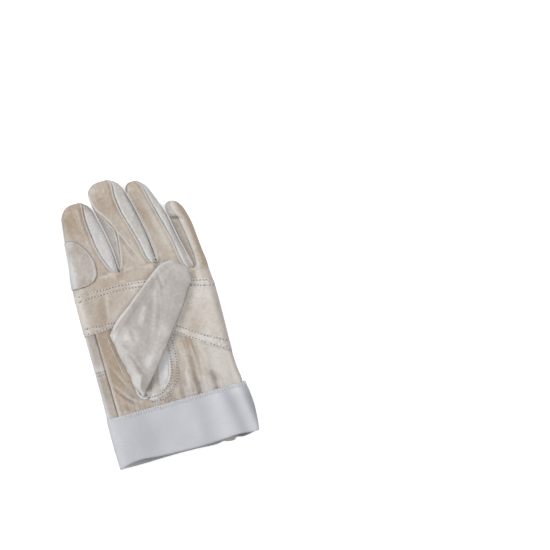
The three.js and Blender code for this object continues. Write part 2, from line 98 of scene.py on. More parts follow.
# Valleys that run from the crotches into the hand
VALLEY_SHARE = 0.5
VALLEY_WIDTH = 3.2
VALLEY_SPAN = (-9, 1)

# Stalls: tip, length of the rounded tip, height, how far the tip moves aside, and start of the front
STALLS = [
    dict(name="index", tip=229.6, round=12, top=15.0, shift=0.0, start=146.0),
    dict(name="middle", tip=242.2, round=14, top=15.2, shift=0.4, start=143.0),
    dict(name="ring", tip=234.8, round=11, top=14.6, shift=0.3, start=136.0),
    dict(name="little", tip=209.8, round=10, top=16.0, shift=0.2, start=132.0),
]
STALL_SQUARE = 2.35
STALL_BASE_TOP = 16.0
TIP_HALF = 1.3
HAND_TO_STALL = (158, 186)
# Fronts: height of the seam's bead, how far the thumb-side edge rolls, dark seam line as seam dirt and
# painted shade in the groove, and a pale line beside it as wear and painted highlight
FRONTS = [
    dict(bead=0.85, roll=1.0, line=0.26, rubbed_highlight=0.6),
    dict(bead=0.85, roll=1.0, line=0.16, rubbed_highlight=0.6),
    dict(bead=0.85, roll=1.0, line=0.16, rubbed_highlight=0.6),
    dict(bead=0.45, roll=0.4, line=0.04, rubbed_highlight=1.1),
]
# How dark the painted shade in the gaps on both sides of each stall is
GAP_SHADES = [(0, 0.15), (0.15, 0.45), (0.45, 0.15), (0.15, 0)]
# Angles off the level at the hand's two sides, and of the seams between the walls and the backs
SIDE = 0.0015
LOW_SEAM = 0.35
# Walls between the fingers: start above the crotch, gap to the fronts, angle to the backs, depth, pleats
WALL_START = 0.4
WALL_GAP = 0.1
WALL_TO_BACK = 0.02
WALL_SUNK = 0.3
PLEAT = 0.05
PLEAT_PITCH = 2.3

# Plan lines of the front panels' seams
INDEX_SEAM = (
    [162, 163, 165, 174, 185, 199, 214, 224.5, 229],
    [-15.9, -17.6, -20.6, -25, -28.3, -30.3, -31.3, -30.8, -31],
)
MIDDLE_LEFT = (
    [162, 164, 170, 182, 190, 197, 203, 209.5, 220, 228],
    [-15.7, -14.6, -12.2, -10.3, -9.2, -8.9, -11.5, -15, -21.5, -23.6],
)
MIDDLE_RIGHT = (
    [161, 163, 169, 180, 197, 212, 227, 236, 241],
    [17.8, 13.6, 10.2, 8.3, 4.2, 0, -1.7, -1.2, -3],
)
RING_RIGHT = (
    [148.6, 150, 152.4, 157, 177, 194, 214, 229, 233],
    [46, 43, 40.8, 38.8, 35.8, 31.7, 26.7, 23.3, 21],
)
LITTLE_LEFT = (
    [148.6, 149.8, 152, 158, 165, 180, 191, 196, 201, 206, 209],
    [46.6, 48.8, 50.3, 50.4, 49.8, 48.1, 46.3, 44.8, 42.6, 41.8, 42.6],
)

# Palm band's edges, its stitch rows' distances from them, and the index patch's edge
BAND_TOP = ([-62, -50, -25, 0, 25, 45, 62], [152.6, 152.8, 152.8, 150.4, 146, 139.6, 135.4])
BAND_FOOT = ([-62, -38, -10, 20, 30, 42, 62], [116.6, 116.6, 110.5, 96.8, 89.8, 81.6, 69])
ROW_NEAR = 1.6
TOP_ROW_FAR = ([-62, -35, 0, 30, 62], [6.2, 5.4, 5.2, 6.0, 6.4])
FOOT_ROW_FAR = ([-62, -35, 0, 20, 42, 62], [6.4, 5.4, 5.2, 7.6, 8.1, 10])
BAND_LIFT = 1.15
BAND_LAP = 5.5
BAND_SEWN_X = 57.5
BAND_MIDDLE_Y = 120.0
# The upper palm's strip, from and to these distances below the band's upper edge
UPPER_SPAN = (14.0, 2.0)
PATCH_SPAN = (157.6, 199.7)
PATCH_ROW = 1.2
PATCH_EDGE = (
    [157.4, 157.9, 158.8, 161, 167, 175, 185, 192, 196.5, 199, 199.8],
    [-50, -46, -42.5, -37.4, -33.9, -33.3, -35.8, -39.6, -43.5, -47.5, -51],
)

# Saddle patch: shares along it, and its two edges
SADDLE_V = [0, 0.2, 0.42, 0.6, 0.75, 0.88, 1]
SADDLE_OUTER = [(13.8, 100.2), (14, 87), (12.3, 72), (8.4, 60), (2, 51.5), (-7, 46.8), (-17, 46)]
SADDLE_INNER = [(-14.6, 110.6), (-11.6, 97), (-9.8, 83), (-10, 73), (-13, 66), (-17.5, 60.5), (-22.5, 56)]
SADDLE_ROWS = (1.7, 6.6)
SADDLE_LIFT = 0.75
# Where its ring ends, as distances from the outer edge, and the raised rim there
SADDLE_RING = (7.6, 8.6)
SADDLE_RIM = 8.4

# Thumb: fold on the palm, and its two long edges from the fold to the tip
FOLD_FAR = np.array([-38.0, 112.0])
FOLD_NEAR = np.array([-25.0, 53.0])
FOLD_MIDDLE = (FOLD_FAR + FOLD_NEAR) / 2
ACROSS = (FOLD_NEAR - FOLD_FAR) / np.linalg.norm(FOLD_NEAR - FOLD_FAR)
THUMBWARD = np.array([-ACROSS[1], ACROSS[0]])
THUMB_S = [0, 0.15, 0.35, 0.55, 0.72, 0.84, 0.93, 1]
THUMB_FAR = [
    (-38, 112), (-29.5, 122), (-15.5, 132.5), (0.5, 145),
    (14, 155.3), (21.5, 159.4), (28.5, 160.2), (35.5, 156.6),
]
THUMB_NEAR = [
    (-25, 53), (-14.5, 64.5), (0, 81.5), (14, 99.2),
    (28.2, 117.2), (37, 130.5), (43, 140), (42.4, 150),
]
THUMB_RISE = (
    [0, 0.02, 0.05, 0.1, 0.2, 0.35, 0.55, 0.8, 0.9, 0.95, 0.98, 1],
    [1.2, 3, 4.6, 6.2, 8.2, 9.6, 10.2, 9.6, 8.2, 6.2, 4, 1.3],
)
THUMB_RISE_FULL = 10.5
THUMB_HEIGHT = 7.8
THUMB_HALF = 24.0
THUMB_CROWN = 10.0
THUMB_SEAM = -0.72
THUMB_REACH = 78.0
THUMB_BED_END_Y = 154.0
SOLE_LIFT = OVERLAY + LAP_GAP + 0.2
FLANGE = -0.055
FOLD_TURN = (-0.016, 0.012)
FOLD_Z = 17.8
THUMB_BLEND = (2.1, 5.8)
WEB_LEATHER = 0.5
WEB_TUCK = 0.55

# Thumb hole: a rounded outline beside the fold, shorter by a slant away from it
HOLE_OUT = 10.35
HOLE_HALF = 8.35
HOLE_LONG = 22.75
HOLE_SHIFT = 0.25
HOLE_SLANT = 0.369
HOLE_SLANT_FROM = 2.0
HOLE_SLANT_LENGTH = 17.0

# Elastic cuff: its sides, and its foot along the front and the back
CUFF_LENGTH = 43.0
ELASTIC = 1.6
CUFF_TOP_Z = 17.0
CUFF_TOP_RISE = 0.9
CUFF_FOOT_Z = 3.9
CUFF_SQUARE = 3.2
CUFF_COLUMNS = 320
CUFF_SEAM_Y = 41.2
CUFF_LEFT = ([0, 21.5, 43], [-61.6, -61.8, -61.3])
CUFF_RIGHT = ([0, 10, 22, 34, 43], [63.2, 64.4, 65, 64.2, 62.2])
CUFF_FRONT = (
    [-62, -51, -41, -33, -24, -10, 8, 31, 45, 62],
    [-2, 1.9, 2.5, 1.8, 0.8, 0.1, -0.6, -0.1, 0.8, -1.2],
)
CUFF_BACK = (
    [-62, -44, -26, -12, 6, 24, 31, 42, 48, 62],
    [-2.2, -2.5, -2.3, -2.2, -2.6, -3.6, -2.6, -2.2, -3.2, -1.1],
)
# Painted shade of soft hollows across the cuff's front: middle, width and how dark
CUFF_HOLLOW_SHADES = [(-35, 15, 0.24), (20, 7, 0.18), (35, 5, -0.08), (48, 5.5, 0.38)]
TICK_SPAN = np.array([39.0, 43.6])
TICK_PITCH = 2.2

# Wrist strap under the cuff: its fold, and its ends and half width from there
STRAP_FOLD = np.array([-44.0, 24.0])
STRAP_TURN = math.radians(-9.9)
STRAP_TOP = 3.6
STRAP_LOW = -12.0
STRAP_HIGH = 90.0
STRAP_HALF = 11.0
STRAP_ROUND = 3.5
STRAP_ROW = 1.8
STRAP_BLEND = (-1.0, 5.0)
TAPE_HALF = 9.0
TAPE_NAP = 0.12
# The strap's tab: how far out, middle and half length along the strap, and where it starts across
TAB_OUT = 3.2
TAB_MIDDLE = 83.0
TAB_HALF = 7.0
TAB_FROM = (4, 11)

# Small pieces
TACK_PLACE = (17.7, 164.2)
TACK_RADIUS = 1.9
TACK_LIFT = 1.2
WELT_RADIUS = 0.5
WELT = ([74, 80, 90, 102, 114], [-34.6, -36.2, -38, -39.8, -41])
# Crumpled leather at the fold's lower corner: path, radius and tint
CRUMPLE_S = [0, 0.35, 0.7, 1]
CRUMPLES = [
    ([(-28.6, 65), (-28.2, 58), (-25.4, 53), (-21, 51.2)], 1.3, 0.1),
    ([(-25.5, 55.5), (-21.5, 53), (-18, 54), (-16, 56)], 1.1, 0.5),
    ([(-21, 50.5), (-18.6, 49.2), (-16, 50), (-14, 52.4)], 0.9, 0.5),
]

# Gathers over the cuff: middle, width and height of each fold
GATHERS = [
    (-33, 4, 0.5), (-22, 3.2, -0.5), (-13, 3, 0.7), (-5, 2.4, -0.9), (3, 2.6, 0.9), (8.5, 2.3, -1.2),
    (15.8, 2.8, 2.3), (21.8, 2.3, -2.6), (28.8, 1.7, 1.2), (36.8, 3, -3), (45.5, 3, 1.6), (53.5, 2.3, -0.9),
]
# Painted shade in the valleys between the gathers: middle, width, how dark, and where it ends
DARK_VALLEYS = [(37.5, 3.4, 0.15, 56, 70), (22.3, 2.4, 0.14, 60, 74)]

# Creases of the palm side: start, end, width and height of each
CREASES = [
    ((-47, 70), (-29, 47), 1.6, 0.8), ((-45, 62), (-32, 46), 1.3, -0.9), ((-44, 84), (-33, 62), 1.5, 0.8),
    ((-39, 58), (-24, 46), 1.2, 0.8), ((-8.6, 199), (4, 171), 0.9, 1.7), ((-10, 195), (0.5, 170), 1.2, -1.1),
    ((-5, 200), (7, 176), 1.6, -0.6), ((15, 92), (22, 62), 2.2, 0.6), ((24, 96), (30, 66), 2.4, -0.5),
    ((33, 88), (38, 64), 2.4, 0.5), ((-48, 226), (-43, 203), 1.8, 0.45), ((-42, 226), (-39, 203), 1.6, -0.5),
    ((-37, 226), (-35, 203), 1.7, 0.45), ((-33, 172), (-24, 158), 2, -0.3), ((18, 226), (24, 196), 2, -0.3),
    ((-4, 232), (-2, 206), 2.2, -0.35), ((14, 224), (20, 194), 1.8, 0.3), ((15, 198), (25, 163), 2, -0.7),
    ((22, 200), (31, 163), 2.8, 0.4), ((53, 200), (56, 176), 1.6, -0.4), ((-30, 147), (-36, 121), 2.4, 0.6),
    ((-37, 147), (-42, 119), 3.2, -0.9), ((-22, 148), (-27, 128), 2.2, 0.3), ((36, 132), (57, 116), 3.2, 0.3),
    ((30, 118), (58, 98), 3.5, -0.35), ((-54.2, 116), (-52.6, 84), 0.9, -0.5),
]
LITTLE_CREASES = [((35, 196.4), (48, 192.6), 1.2, -2.2), ((37, 200), (46, 197), 2.4, 1.3)]
# Fine wrinkles below the band's foot: place and size
WRINKLES = ((24, 85), (9, 12))

# Folds of the thumb's top: rolls along it (share across, width, height), a swelling and creases
THUMB_ROLLS = [(-0.93, 0.05, 0.6), (-0.74, 0.1, -1.1), (-0.42, 0.14, 0.9)]
THUMB_SWELLING = [((-25, 106), (3.6, 4.5), 1.1)]
THUMB_CREASES = [
    ((14.5, 153), (16.5, 139), 1.2, -0.9), ((17.4, 153), (19.4, 139), 1.4, 0.6),
    ((-20, 111), (-19, 100), 1.3, -0.9), ((-30, 101), (-26, 96), 1.6, -0.9),
    ((-16, 112), (-15, 98), 1.7, 0.7), ((-27, 92), (-20, 70), 1.6, -0.7),
    ((-24, 92), (-17, 72), 1.6, 0.6), ((7, 106), (-13, 77), 1.3, 0.5),
    ((16.8, 151), (8, 108), 0.9, 0.55), ((21.5, 150), (14, 114), 0.9, 0.35),
]

# Marks in the leather's colour, more tan where the strength is above zero:
# spots have a place, a size and a strength, lines a start, an end, a width and a strength
INDEX_SPOTS = [((-18, 159), (6, 5), 0.25), ((-28, 162), (5, 4), 0.1)]
INDEX_LINES = [((-37, 224), (-36.5, 206), 3, -0.2), ((-32.6, 224), (-31.8, 206), 1.5, 0.3)]
MIDDLE_SPOTS = [((5, 165), (7, 8), -0.15), ((-13, 160), (6, 5), 0.25)]
# A pale line along the diagonal fold ridge of the middle finger: painted highlight.
MIDDLE_LINES = [((-8.6, 199), (4, 171), 0.8, -0.35)]
RING_LINES = [
    ((17, 196), (26, 163), 2.2, -0.15), ((24, 212), (33, 160), 4, -0.3), ((20, 222), (26, 192), 3.5, -0.4),
]
PATCH_SPOTS = [((-50.5, 196), (4, 4), -0.5)]
# Band: the tan spots beside the thumb's near edge are painted shadow and the one at the left is painted shade
# in a crease; the lines are painted shade in a crease valley and painted highlight on the ridge beside it.
BAND_SPOTS = [((35, 110), (8, 16), 0.42), ((-39, 126), (7, 10), 0.4), ((32, 96), (7, 6), 0.5)]
BAND_LINES = [((-37, 142), (-42, 118), 3.0, 0.25), ((-30.5, 148), (-36, 121), 1.4, -0.2)]
# Lower palm: the tan spot at (25, 80) is painted shade in a fold; the pale spots at (15, 92) and (-15, 46)
# are painted light where the thumb's and the saddle's shadows fall.
LOWER_SPOTS = [
    ((25, 80), (7, 14), 0.15), ((10, 52), (13, 12), -0.3), ((15, 92), (4, 8), -0.3),
    ((-15, 46), (6, 4), -0.4), ((12, 49), (3, 5), -0.4),
]
LOWER_LINES = [((27, 96), (31, 52), 4.5, 0.4), ((16, 84), (17, 54), 3, -0.2)]
SADDLE_SPOTS = [((3, 70), (4, 6), 0.3)]
# The pale spot at (-22, 105) by the fold is painted light on its slope.
THUMB_SPOTS = [
    ((-22, 105), (8, 8), -0.5), ((-22, 75), (4, 7), 0.5), ((-20, 63), (4, 5), 0.4),
    ((-12.5, 81), (4, 7), -0.45), ((10.5, 102), (4, 6), -0.35),
]
# The pale lines from (15.2, 149) and (10, 110) follow the thumb's long ridge: painted highlight.
THUMB_LINES = [
    ((25, 152), (9, 106), 4, -0.1), ((15.2, 149), (-3.5, 98), 2.2, -0.35), ((10, 110), (-14, 76), 4, -0.35),
    ((-1, 128), (-10, 114), 3, -0.5), ((-8, 131), (-22, 116), 2.6, 0.3), ((-5, 122), (-10, 112), 3, -0.2),
]
# Spots of painted shade: in a fold and by the thumb's corner on the lower palm, under the thumb's near edge
# on the saddle, and in a hollow of the cuff
LOWER_SHADE_SPOTS = [((26, 80), (6, 12), 0.09), ((-33.5, 56), (4, 7), 0.25)]
SADDLE_THUMB_SHADOW = [((-11, 64), (4, 5), 0.2)]
CUFF_SHADE_SPOTS = [((-24, 17), (14, 12), 0.14)]


# Curves, marks and noise
def smooth(v, low, high):
    """A soft step from 0 at low to 1 at high."""
    s = np.clip((v - low) / (high - low), 0, 1)
    return s * s * (3 - 2 * s)


def peak(v, middle, width):
    """A bell of height 1."""
    return np.exp(-(((v - middle) / width) ** 2))


def spot(x, y, place, size):
    """A soft spot of height 1 in plan."""
    return peak(x, place[0], size[0]) * peak(y, place[1], size[1])


def fade(v, start, reach):
    """1 up to the start, then falling away."""
    return np.exp(-np.clip(v - start, 0, None) / reach)


def curve(v, knots):
    """A smooth curve through the knots' values, without overshoot."""
    x, f = (np.asarray(part, float) for part in knots)
    d = np.diff(f) / np.diff(x)
    before, after = d[:-1], d[1:]
    inner = np.where(before * after > 0, 2 * before * after / (before + after + 1e-12), 0)
    m = np.concatenate([d[:1], inner, d[-1:]])
    v = np.clip(v, x[0], x[-1])
    i = np.clip(np.searchsorted(x, v, side="right") - 1, 0, len(x) - 2)
    h = x[i + 1] - x[i]
    s = (v - x[i]) / h
    left = f[i] * (1 + 2 * s) * (1 - s) ** 2 + m[i] * h * s * (1 - s) ** 2
    return left + f[i + 1] * s * s * (3 - 2 * s) + m[i + 1] * h * s * s * (s - 1)


def plan_curve(v, knots, places):
    """A smooth curve through places in plan."""
    return np.stack([curve(v, (knots, values)) for values in zip(*places)], -1)


def arch(t, n):
    """A rounded arch over -1 to 1, squarer with a greater power."""
    return np.maximum(0, 1 - np.abs(t) ** n) ** (1 / n)


def signed_power(v, power):
    return np.sign(v) * np.abs(v) ** power


def lattice(ix, iy, seed):
    h = (ix * 374761393 + iy * 668265263 + seed * 974634777) & 0xFFFFFFFF
    h = ((h ^ (h >> 13)) * 1274126177) & 0xFFFFFFFF
    return ((h ^ (h >> 16)) & 0xFFFF) / 32767.5 - 1


def noise(x, y, seed):
    """Smooth noise from -1 to 1 with a cell of one unit."""
    fx, fy = np.floor(x), np.floor(y)
    ix, iy = fx.astype(np.int64), fy.astype(np.int64)
    sx, sy = (s * s * s * (s * (s * 6 - 15) + 10) for s in (x - fx, y - fy))
    low = lattice(ix, iy, seed) * (1 - sx) + lattice(ix + 1, iy, seed) * sx
    high = lattice(ix, iy + 1, seed) * (1 - sx) + lattice(ix + 1, iy + 1, seed) * sx
    return low * (1 - sy) + high * sy


def layered(x, y, seed):
    """Noise of three cell sizes."""
    coarse = noise(x, y, seed) + 0.5 * noise(2.1 * x, 2.1 * y, seed + 1)
    return (coarse + 0.25 * noise(4.3 * x, 4.3 * y, seed + 2)) / 1.4


def line_ridge(x, y, a, b, width):
    """A ridge of height 1 along the line from a to b, fading past its ends."""
    ax, ay, dx, dy = a[0], a[1], b[0] - a[0], b[1] - a[1]
    length = math.hypot(dx, dy)
    s = ((x - ax) * dx + (y - ay) * dy) / length
    d = ((x - ax) * dy - (y - ay) * dx) / length
    ends = smooth(s, -0.15 * length, 0.15 * length) * smooth(length - s, -0.15 * length, 0.25 * length)
    return peak(d, 0, width) * ends


def marks(x, y, spots=(), lines=()):
    """The sum of soft spots and lines, each with its strength."""
    total = 0.0 * x
    for place, size, strength in spots:
        total = total + strength * spot(x, y, place, size)
    for start, end, width, strength in lines:
        total = total + strength * line_ridge(x, y, start, end, width)
    return total


def lengths(points):
    """Distance of each point from the start of its path."""
    step = np.linalg.norm(np.diff(points, axis=-2), axis=-1)
    return np.concatenate([0 * step[..., :1], np.cumsum(step, axis=-1)], -1)


def even_shares(low, high, count, section, samples):
    """Shares from low to high, evenly spaced along the curved section that they stand for."""
    t = np.sin(np.linspace(math.asin(low), math.asin(high), samples))
    run = lengths(np.stack(section(t), -1))
    return np.interp(np.linspace(0, run[-1], count), run, t)


def unit(v):
    return v / (np.linalg.norm(v, axis=-1, keepdims=True) + 1e-9)


# The hand
def bound(k, y):
    return curve(y, BOUNDS[k])


def hand_x(t, y, depth=0.0):
    """Place across the hand at a share of its half width, which the depth makes less."""
    left, right = curve(y, LEFT_EDGE), curve(y, RIGHT_EDGE)
    return (left + right) / 2 + t * ((right - left) / 2 - depth)


def hand_share(x, y):
    left, right = curve(y, LEFT_EDGE), curve(y, RIGHT_EDGE)
    return (2 * x - left - right) / (right - left)


def hand_columns(count, low=-1.0, high=1.0):
    return even_shares(low, high, count, lambda t: (HALF_HAND * t, HAND_RISE * arch(t, SQUARE)), 4001)


def hand_levels(y):
    """Heights of the hand's back and of the seam at its sides."""
    bottom = WRIST_LIFT * (1 - smooth(y, CUFF_LENGTH, LIFT_END_Y))
    return bottom, SEAM_Z + bottom * 2 / 3


def valleys(x, y):
    """Share of the hand's height that is left where the lines between the stalls run into it."""
    share = 1.0
    for k, crotch in enumerate(CROTCH_Y):
        start, end = (crotch + reach for reach in VALLEY_SPAN)
        share = share - VALLEY_SHARE * peak(x, bound(k + 1, y), VALLEY_WIDTH) * smooth(y, start, end)
    return share


def gathers(x, y):
    z = 0.0 * x
    for n, (middle, width, height) in enumerate(GATHERS):
        lean = 0.05 * (y - CUFF_LENGTH) + 1.2 * noise(y / 12, 0 * y + 3.7 * n, 28)
        swell = 1 + 0.45 * noise(y / 9, 0 * y + 5.3 * n, 30)
        z = z + height * swell * peak(x, middle + lean, width)
    return z


def relief(x, y):
    """Soft folds of the palm side, in height."""
    z = 0.75 * layered(x / 31, y / 37, 11) + 0.42 * layered(x / 8, y / 12, 23)
    z = z + 0.12 * layered((x + y) / 3.5, (x - y) / 6, 27) + marks(x, y, lines=CREASES)
    z = z + 0.45 * noise((x + 0.1 * y) / 1.5, y / 16, 26) * spot(x, y, *WRINKLES)
    folds = gathers(x, y)
    least = np.where(folds < 0, 0.85, 0.35)
    grow = least + (1 - least) * smooth(y, CUFF_LENGTH, CUFF_LENGTH + 8)
    pucker = 0.5 * noise(x / 1.9, y / 30, 25) * smooth(y, CUFF_LENGTH, CUFF_LENGTH + 2)
    low = folds * grow * fade(y, CUFF_LENGTH + 8, 20) + pucker * fade(y, CUFF_LENGTH + 2, 7)
    return z * smooth(y, CUFF_LENGTH, CUFF_LENGTH + 12) + low


def palm_height(x, y, dips=True):
    foot = hand_levels(y)[1] + SEAM_HALF
    rise = arch(np.clip(hand_share(x, y), -1, 1), SQUARE)
    crown = (curve(y, HAND_TOP) - foot) * rise * (valleys(x, y) if dips else 1.0)
    return foot + crown + relief(x, y) * smooth(rise, 0.25, 0.85)


def back_height(x, y):
    bottom, seam = hand_levels(y)
    head = seam - SEAM_HALF
    fall = (head - bottom + 0.7) * arch(np.clip(hand_share(x, y), -1, 1), SQUARE) * valleys(x, y)
    soft = 0.22 + 0.22 * layered(x / 26, y / 30, 41)
    return np.minimum(head, np.maximum(bottom + soft * smooth(y, 50, 64), head - fall))


def palm_point(t, y, depth):
    """A point of the palm side at that depth. What lies on the palm widens less than it rises."""
    x = hand_x(t, y, np.where(depth < 0, 0.45, 1) * depth)
    z = np.maximum(hand_levels(y)[1] + SEAM_HALF, palm_height(hand_x(t, y), y) - depth)
    return np.stack([x, y + 0 * x, z], -1)


def back_point(t, y, depth):
    x = hand_x(t, y, depth)
    z = np.minimum(hand_levels(y)[1] - SEAM_HALF, back_height(hand_x(t, y), y) + depth)
    return np.stack([x, y + 0 * x, z], -1)


def on_palm(plan, lift):
    x, y = np.asarray(plan, float).T
    return np.column_stack([x, y, palm_height(x, y) + lift])


# The finger stalls
def stall_section(k, y):
    """Centre, half width, heights and squareness of a stall's section."""
    stall = STALLS[k]
    left, right = bound(k, y), bound(k + 1, y)
    if k > 0:
        left = left + STALL_GAP / 2 * smooth(y, CROTCH_Y[k - 1], CROTCH_Y[k - 1] + GAP_REACH)
    if k < 3:
        right = right - STALL_GAP / 2 * smooth(y, CROTCH_Y[k], CROTCH_Y[k] + GAP_REACH)
    r = np.clip((y - stall["tip"] + stall["round"]) / stall["round"], 0, 1)
    swell = arch(r, 2.15)
    along = np.clip((y - KNUCKLE_Y) / (stall["tip"] - KNUCKLE_Y), 0, 1)
    top = STALL_BASE_TOP + (stall["top"] - STALL_BASE_TOP) * smooth(along, 0, 0.5)
    return dict(
        centre=(left + right) / 2 + stall["shift"] * r * r,
        half=(right - left) / 2 * (0.1 + 0.9 * swell),
        up=TIP_HALF + (top - SEAM_Z - TIP_HALF) * swell,
        down=TIP_HALF + (SEAM_Z - TIP_HALF) * swell,
        square=SQUARE + (STALL_SQUARE - SQUARE) * smooth(along, 0, 0.4),
    )


def stall_folds(k, x, y):
    z = 0.5 * layered(x / 8 + 7 * k, y / 20, 61 + k) + 0.3 * layered(x / 5, y / 7, 71 + k)
    if k == 3:
        z = z + marks(x, y, lines=LITTLE_CREASES)
    return z * smooth(STALLS[k]["tip"] - y, 0, 8)


def stall_point(k, y, angle, depth):
    """A point round stall k, from angle 0 at its far side over the palm side. It starts out as the hand."""
    section = stall_section(k, y)
    c, s = np.cos(angle), np.sin(angle)
    ux, uz = (signed_power(v, 2 / section["square"]) for v in (c, s))
    x = section["centre"] + np.maximum(section["half"] - depth, 0.25) * ux
    over = s > -1e-9
    tall = np.maximum(np.where(over, section["up"], section["down"]) - depth, 0.12)
    fold = stall_folds(k, x, y) + np.where(over, relief(x, y) * 0.6, 0) * smooth(np.abs(uz), 0.1, 0.7)
    tube = SEAM_Z + tall * uz + fold * uz
    hand = np.where(over, palm_height(x, y) - depth, back_height(x, y) + depth)
    outside = (k == 0) & (c < 0) | (k == 3) & (c > 0)
    seam = SEAM_Z + np.where(over, 0.05, -0.05)
    hand = np.where(outside, seam + (hand - seam) * np.clip(np.abs(uz) / 0.15, 0, 1), hand)
    w = smooth(y, *HAND_TO_STALL)
    z = np.maximum(tube * w + hand * (1 - w), 0.05 + np.maximum(depth, 0))
    return np.stack([x, y + 0 * x, z], -1)


def seam_angle(k, y, x):
    """The angle over stall k at which its section reaches x."""
    section = stall_section(k, y)
    share = np.clip((x - section["centre"]) / section["half"], -1, 1)
    return np.arccos(signed_power(share, section["square"] / 2))


def angle_grid(k, y, low, high, count):
    """Angles between two seams, evenly spaced along each section."""
    angle = low[:, None] + (high - low)[:, None] * np.linspace(0, 1, 161)
    runs = lengths(stall_point(k, y[:, None], angle, 0))
    return np.array([np.interp(np.linspace(0, run[-1], count), run, row) for run, row in zip(runs, angle)])


def stall_rows(k, start, step=0.9):
    stall = STALLS[k]
    straight = stall["tip"] - stall["round"]
    even = np.linspace(start, straight, int((straight - start) / step) + 2)
    rounded = straight + stall["round"] * np.sin(np.linspace(0, math.pi / 2, 17)[1:])
    return np.concatenate([even, rounded])


# The thumb and its hole
def hole_slant(out):
    return HOLE_SLANT * np.clip(out - HOLE_SLANT_FROM, 0, HOLE_SLANT_LENGTH)


def hole_share(x, y):
    """Place in the thumb hole, along and across it, as shares of its rounded outline."""
    dx, dy = x - FOLD_MIDDLE[0], y - FOLD_MIDDLE[1]
    along, out = (dx * way[0] + dy * way[1] for way in (ACROSS, THUMBWARD))
    slant = hole_slant(out)
    return (along + HOLE_SHIFT + slant) / (HOLE_LONG - slant), (out - HOLE_OUT) / HOLE_HALF


def hole_place(p, q):
    out = HOLE_OUT + HOLE_HALF * q
    slant = hole_slant(out)
    along = p * (HOLE_LONG - slant) - HOLE_SHIFT - slant
    return (FOLD_MIDDLE[i] + along * ACROSS[i] + out * THUMBWARD[i] for i in (0, 1))


def cut_hole(x, y):
    """A grid's faces that stay round the thumb hole, and its points, those beside the hole on its edge."""
    p, q = hole_share(x, y)
    level = p**4 + q**4
    gone = level < 1
    cut = gone[:-1, :-1] | gone[1:, :-1] | gone[:-1, 1:] | gone[1:, 1:]
    beside = np.zeros(x.shape, bool)
    for row, column in ((0, 0), (0, 1), (1, 0), (1, 1)):
        beside[row : row + cut.shape[0], column : column + cut.shape[1]] |= cut
    beside &= ~gone
    shrink = np.maximum(level, 1e-6) ** -0.25
    edge_x, edge_y = hole_place(p * shrink, q * shrink)
    return ~cut, np.where(beside, edge_x, x), np.where(beside, edge_y, y)


def thumb_plan(s, t):
    """Plan place on the thumb, s from fold to tip and t from -1 at the far edge, and the half width there."""
    far, near = (plan_curve(s, THUMB_S, edge) for edge in (THUMB_FAR, THUMB_NEAR))
    back = np.minimum(s, 0)[..., None] * THUMB_REACH * THUMBWARD
    middle, half = (far + near) / 2 + back, (near - far) / 2
    return middle + t[..., None] * half, np.linalg.norm(half, axis=-1)


def thumb_arch(t):
    """Height across the thumb: soft towards its far edge, steep at its near one."""
    return np.where(t < 0, arch(t, 2.8), arch(t, 6.5))


def thumb_folds(x, y, s, t):
    z = 0.55 * layered(x / 19, y / 19, 91) + 0.25 * layered((x - y) / 9, (x + y) / 26, 95)
    z = z + sum(height * peak(t, middle, width) for middle, width, height in THUMB_ROLLS)
    z = z + marks(x, y, THUMB_SWELLING, THUMB_CREASES)
    return z * smooth(s, 0.02, 0.14) * smooth(1 - s, 0, 0.12) * smooth(1 - np.abs(t), 0, 0.1)


def thumb_bed(x, y):
    """What the folded thumb lies on: the palm, without the dips between the fingers."""
    return palm_height(x, np.minimum(y, THUMB_BED_END_Y), dips=False)


def thumb_point(s, t, depth):
    """A point on the thumb. Before the fold the leather turns back under it, along the palm."""
    half = thumb_plan(s, t)[1]
    inset = np.clip(1 - depth / np.maximum(half, 1), 0, 1)
    tucked = np.clip(-s, 0, None) * THUMB_REACH
    wavy = 0.8 + 2.3 * peak(t, 0.64, 0.3) + 0.7 * noise(6 * t, 0 * t, 86)
    bulge = wavy * peak(s, 0, 0.03) * (1 - t * t)
    reach = 2 * tucked - bulge + depth * np.clip(1 - np.abs(s) / 0.02, 0, 1)
    plan = thumb_plan(s, t * inset)[0] + reach[..., None] * THUMBWARD
    x, y = plan[..., 0], plan[..., 1]
    palm = thumb_bed(x, y)
    rise = curve(np.maximum(s, 0), THUMB_RISE) * THUMB_HEIGHT / THUMB_RISE_FULL * thumb_arch(t)
    over = palm + SOLE_LIFT + np.maximum(0, rise + thumb_folds(x, y, s, t) - depth)
    under = palm + 0.25 + depth
    return np.stack([x, y, under + (over - under) * smooth(s, *FOLD_TURN)], -1)


def thumb_columns(low, high, count):
    return even_shares(low, high, count, lambda t: (THUMB_HALF * t, THUMB_CROWN * thumb_arch(t)), 2001)


# Meshes
def to_row(points):
    row = np.array(points, float).reshape(-1, 3)
    row[:, 1] -= REST_Y
    return row * 0.001


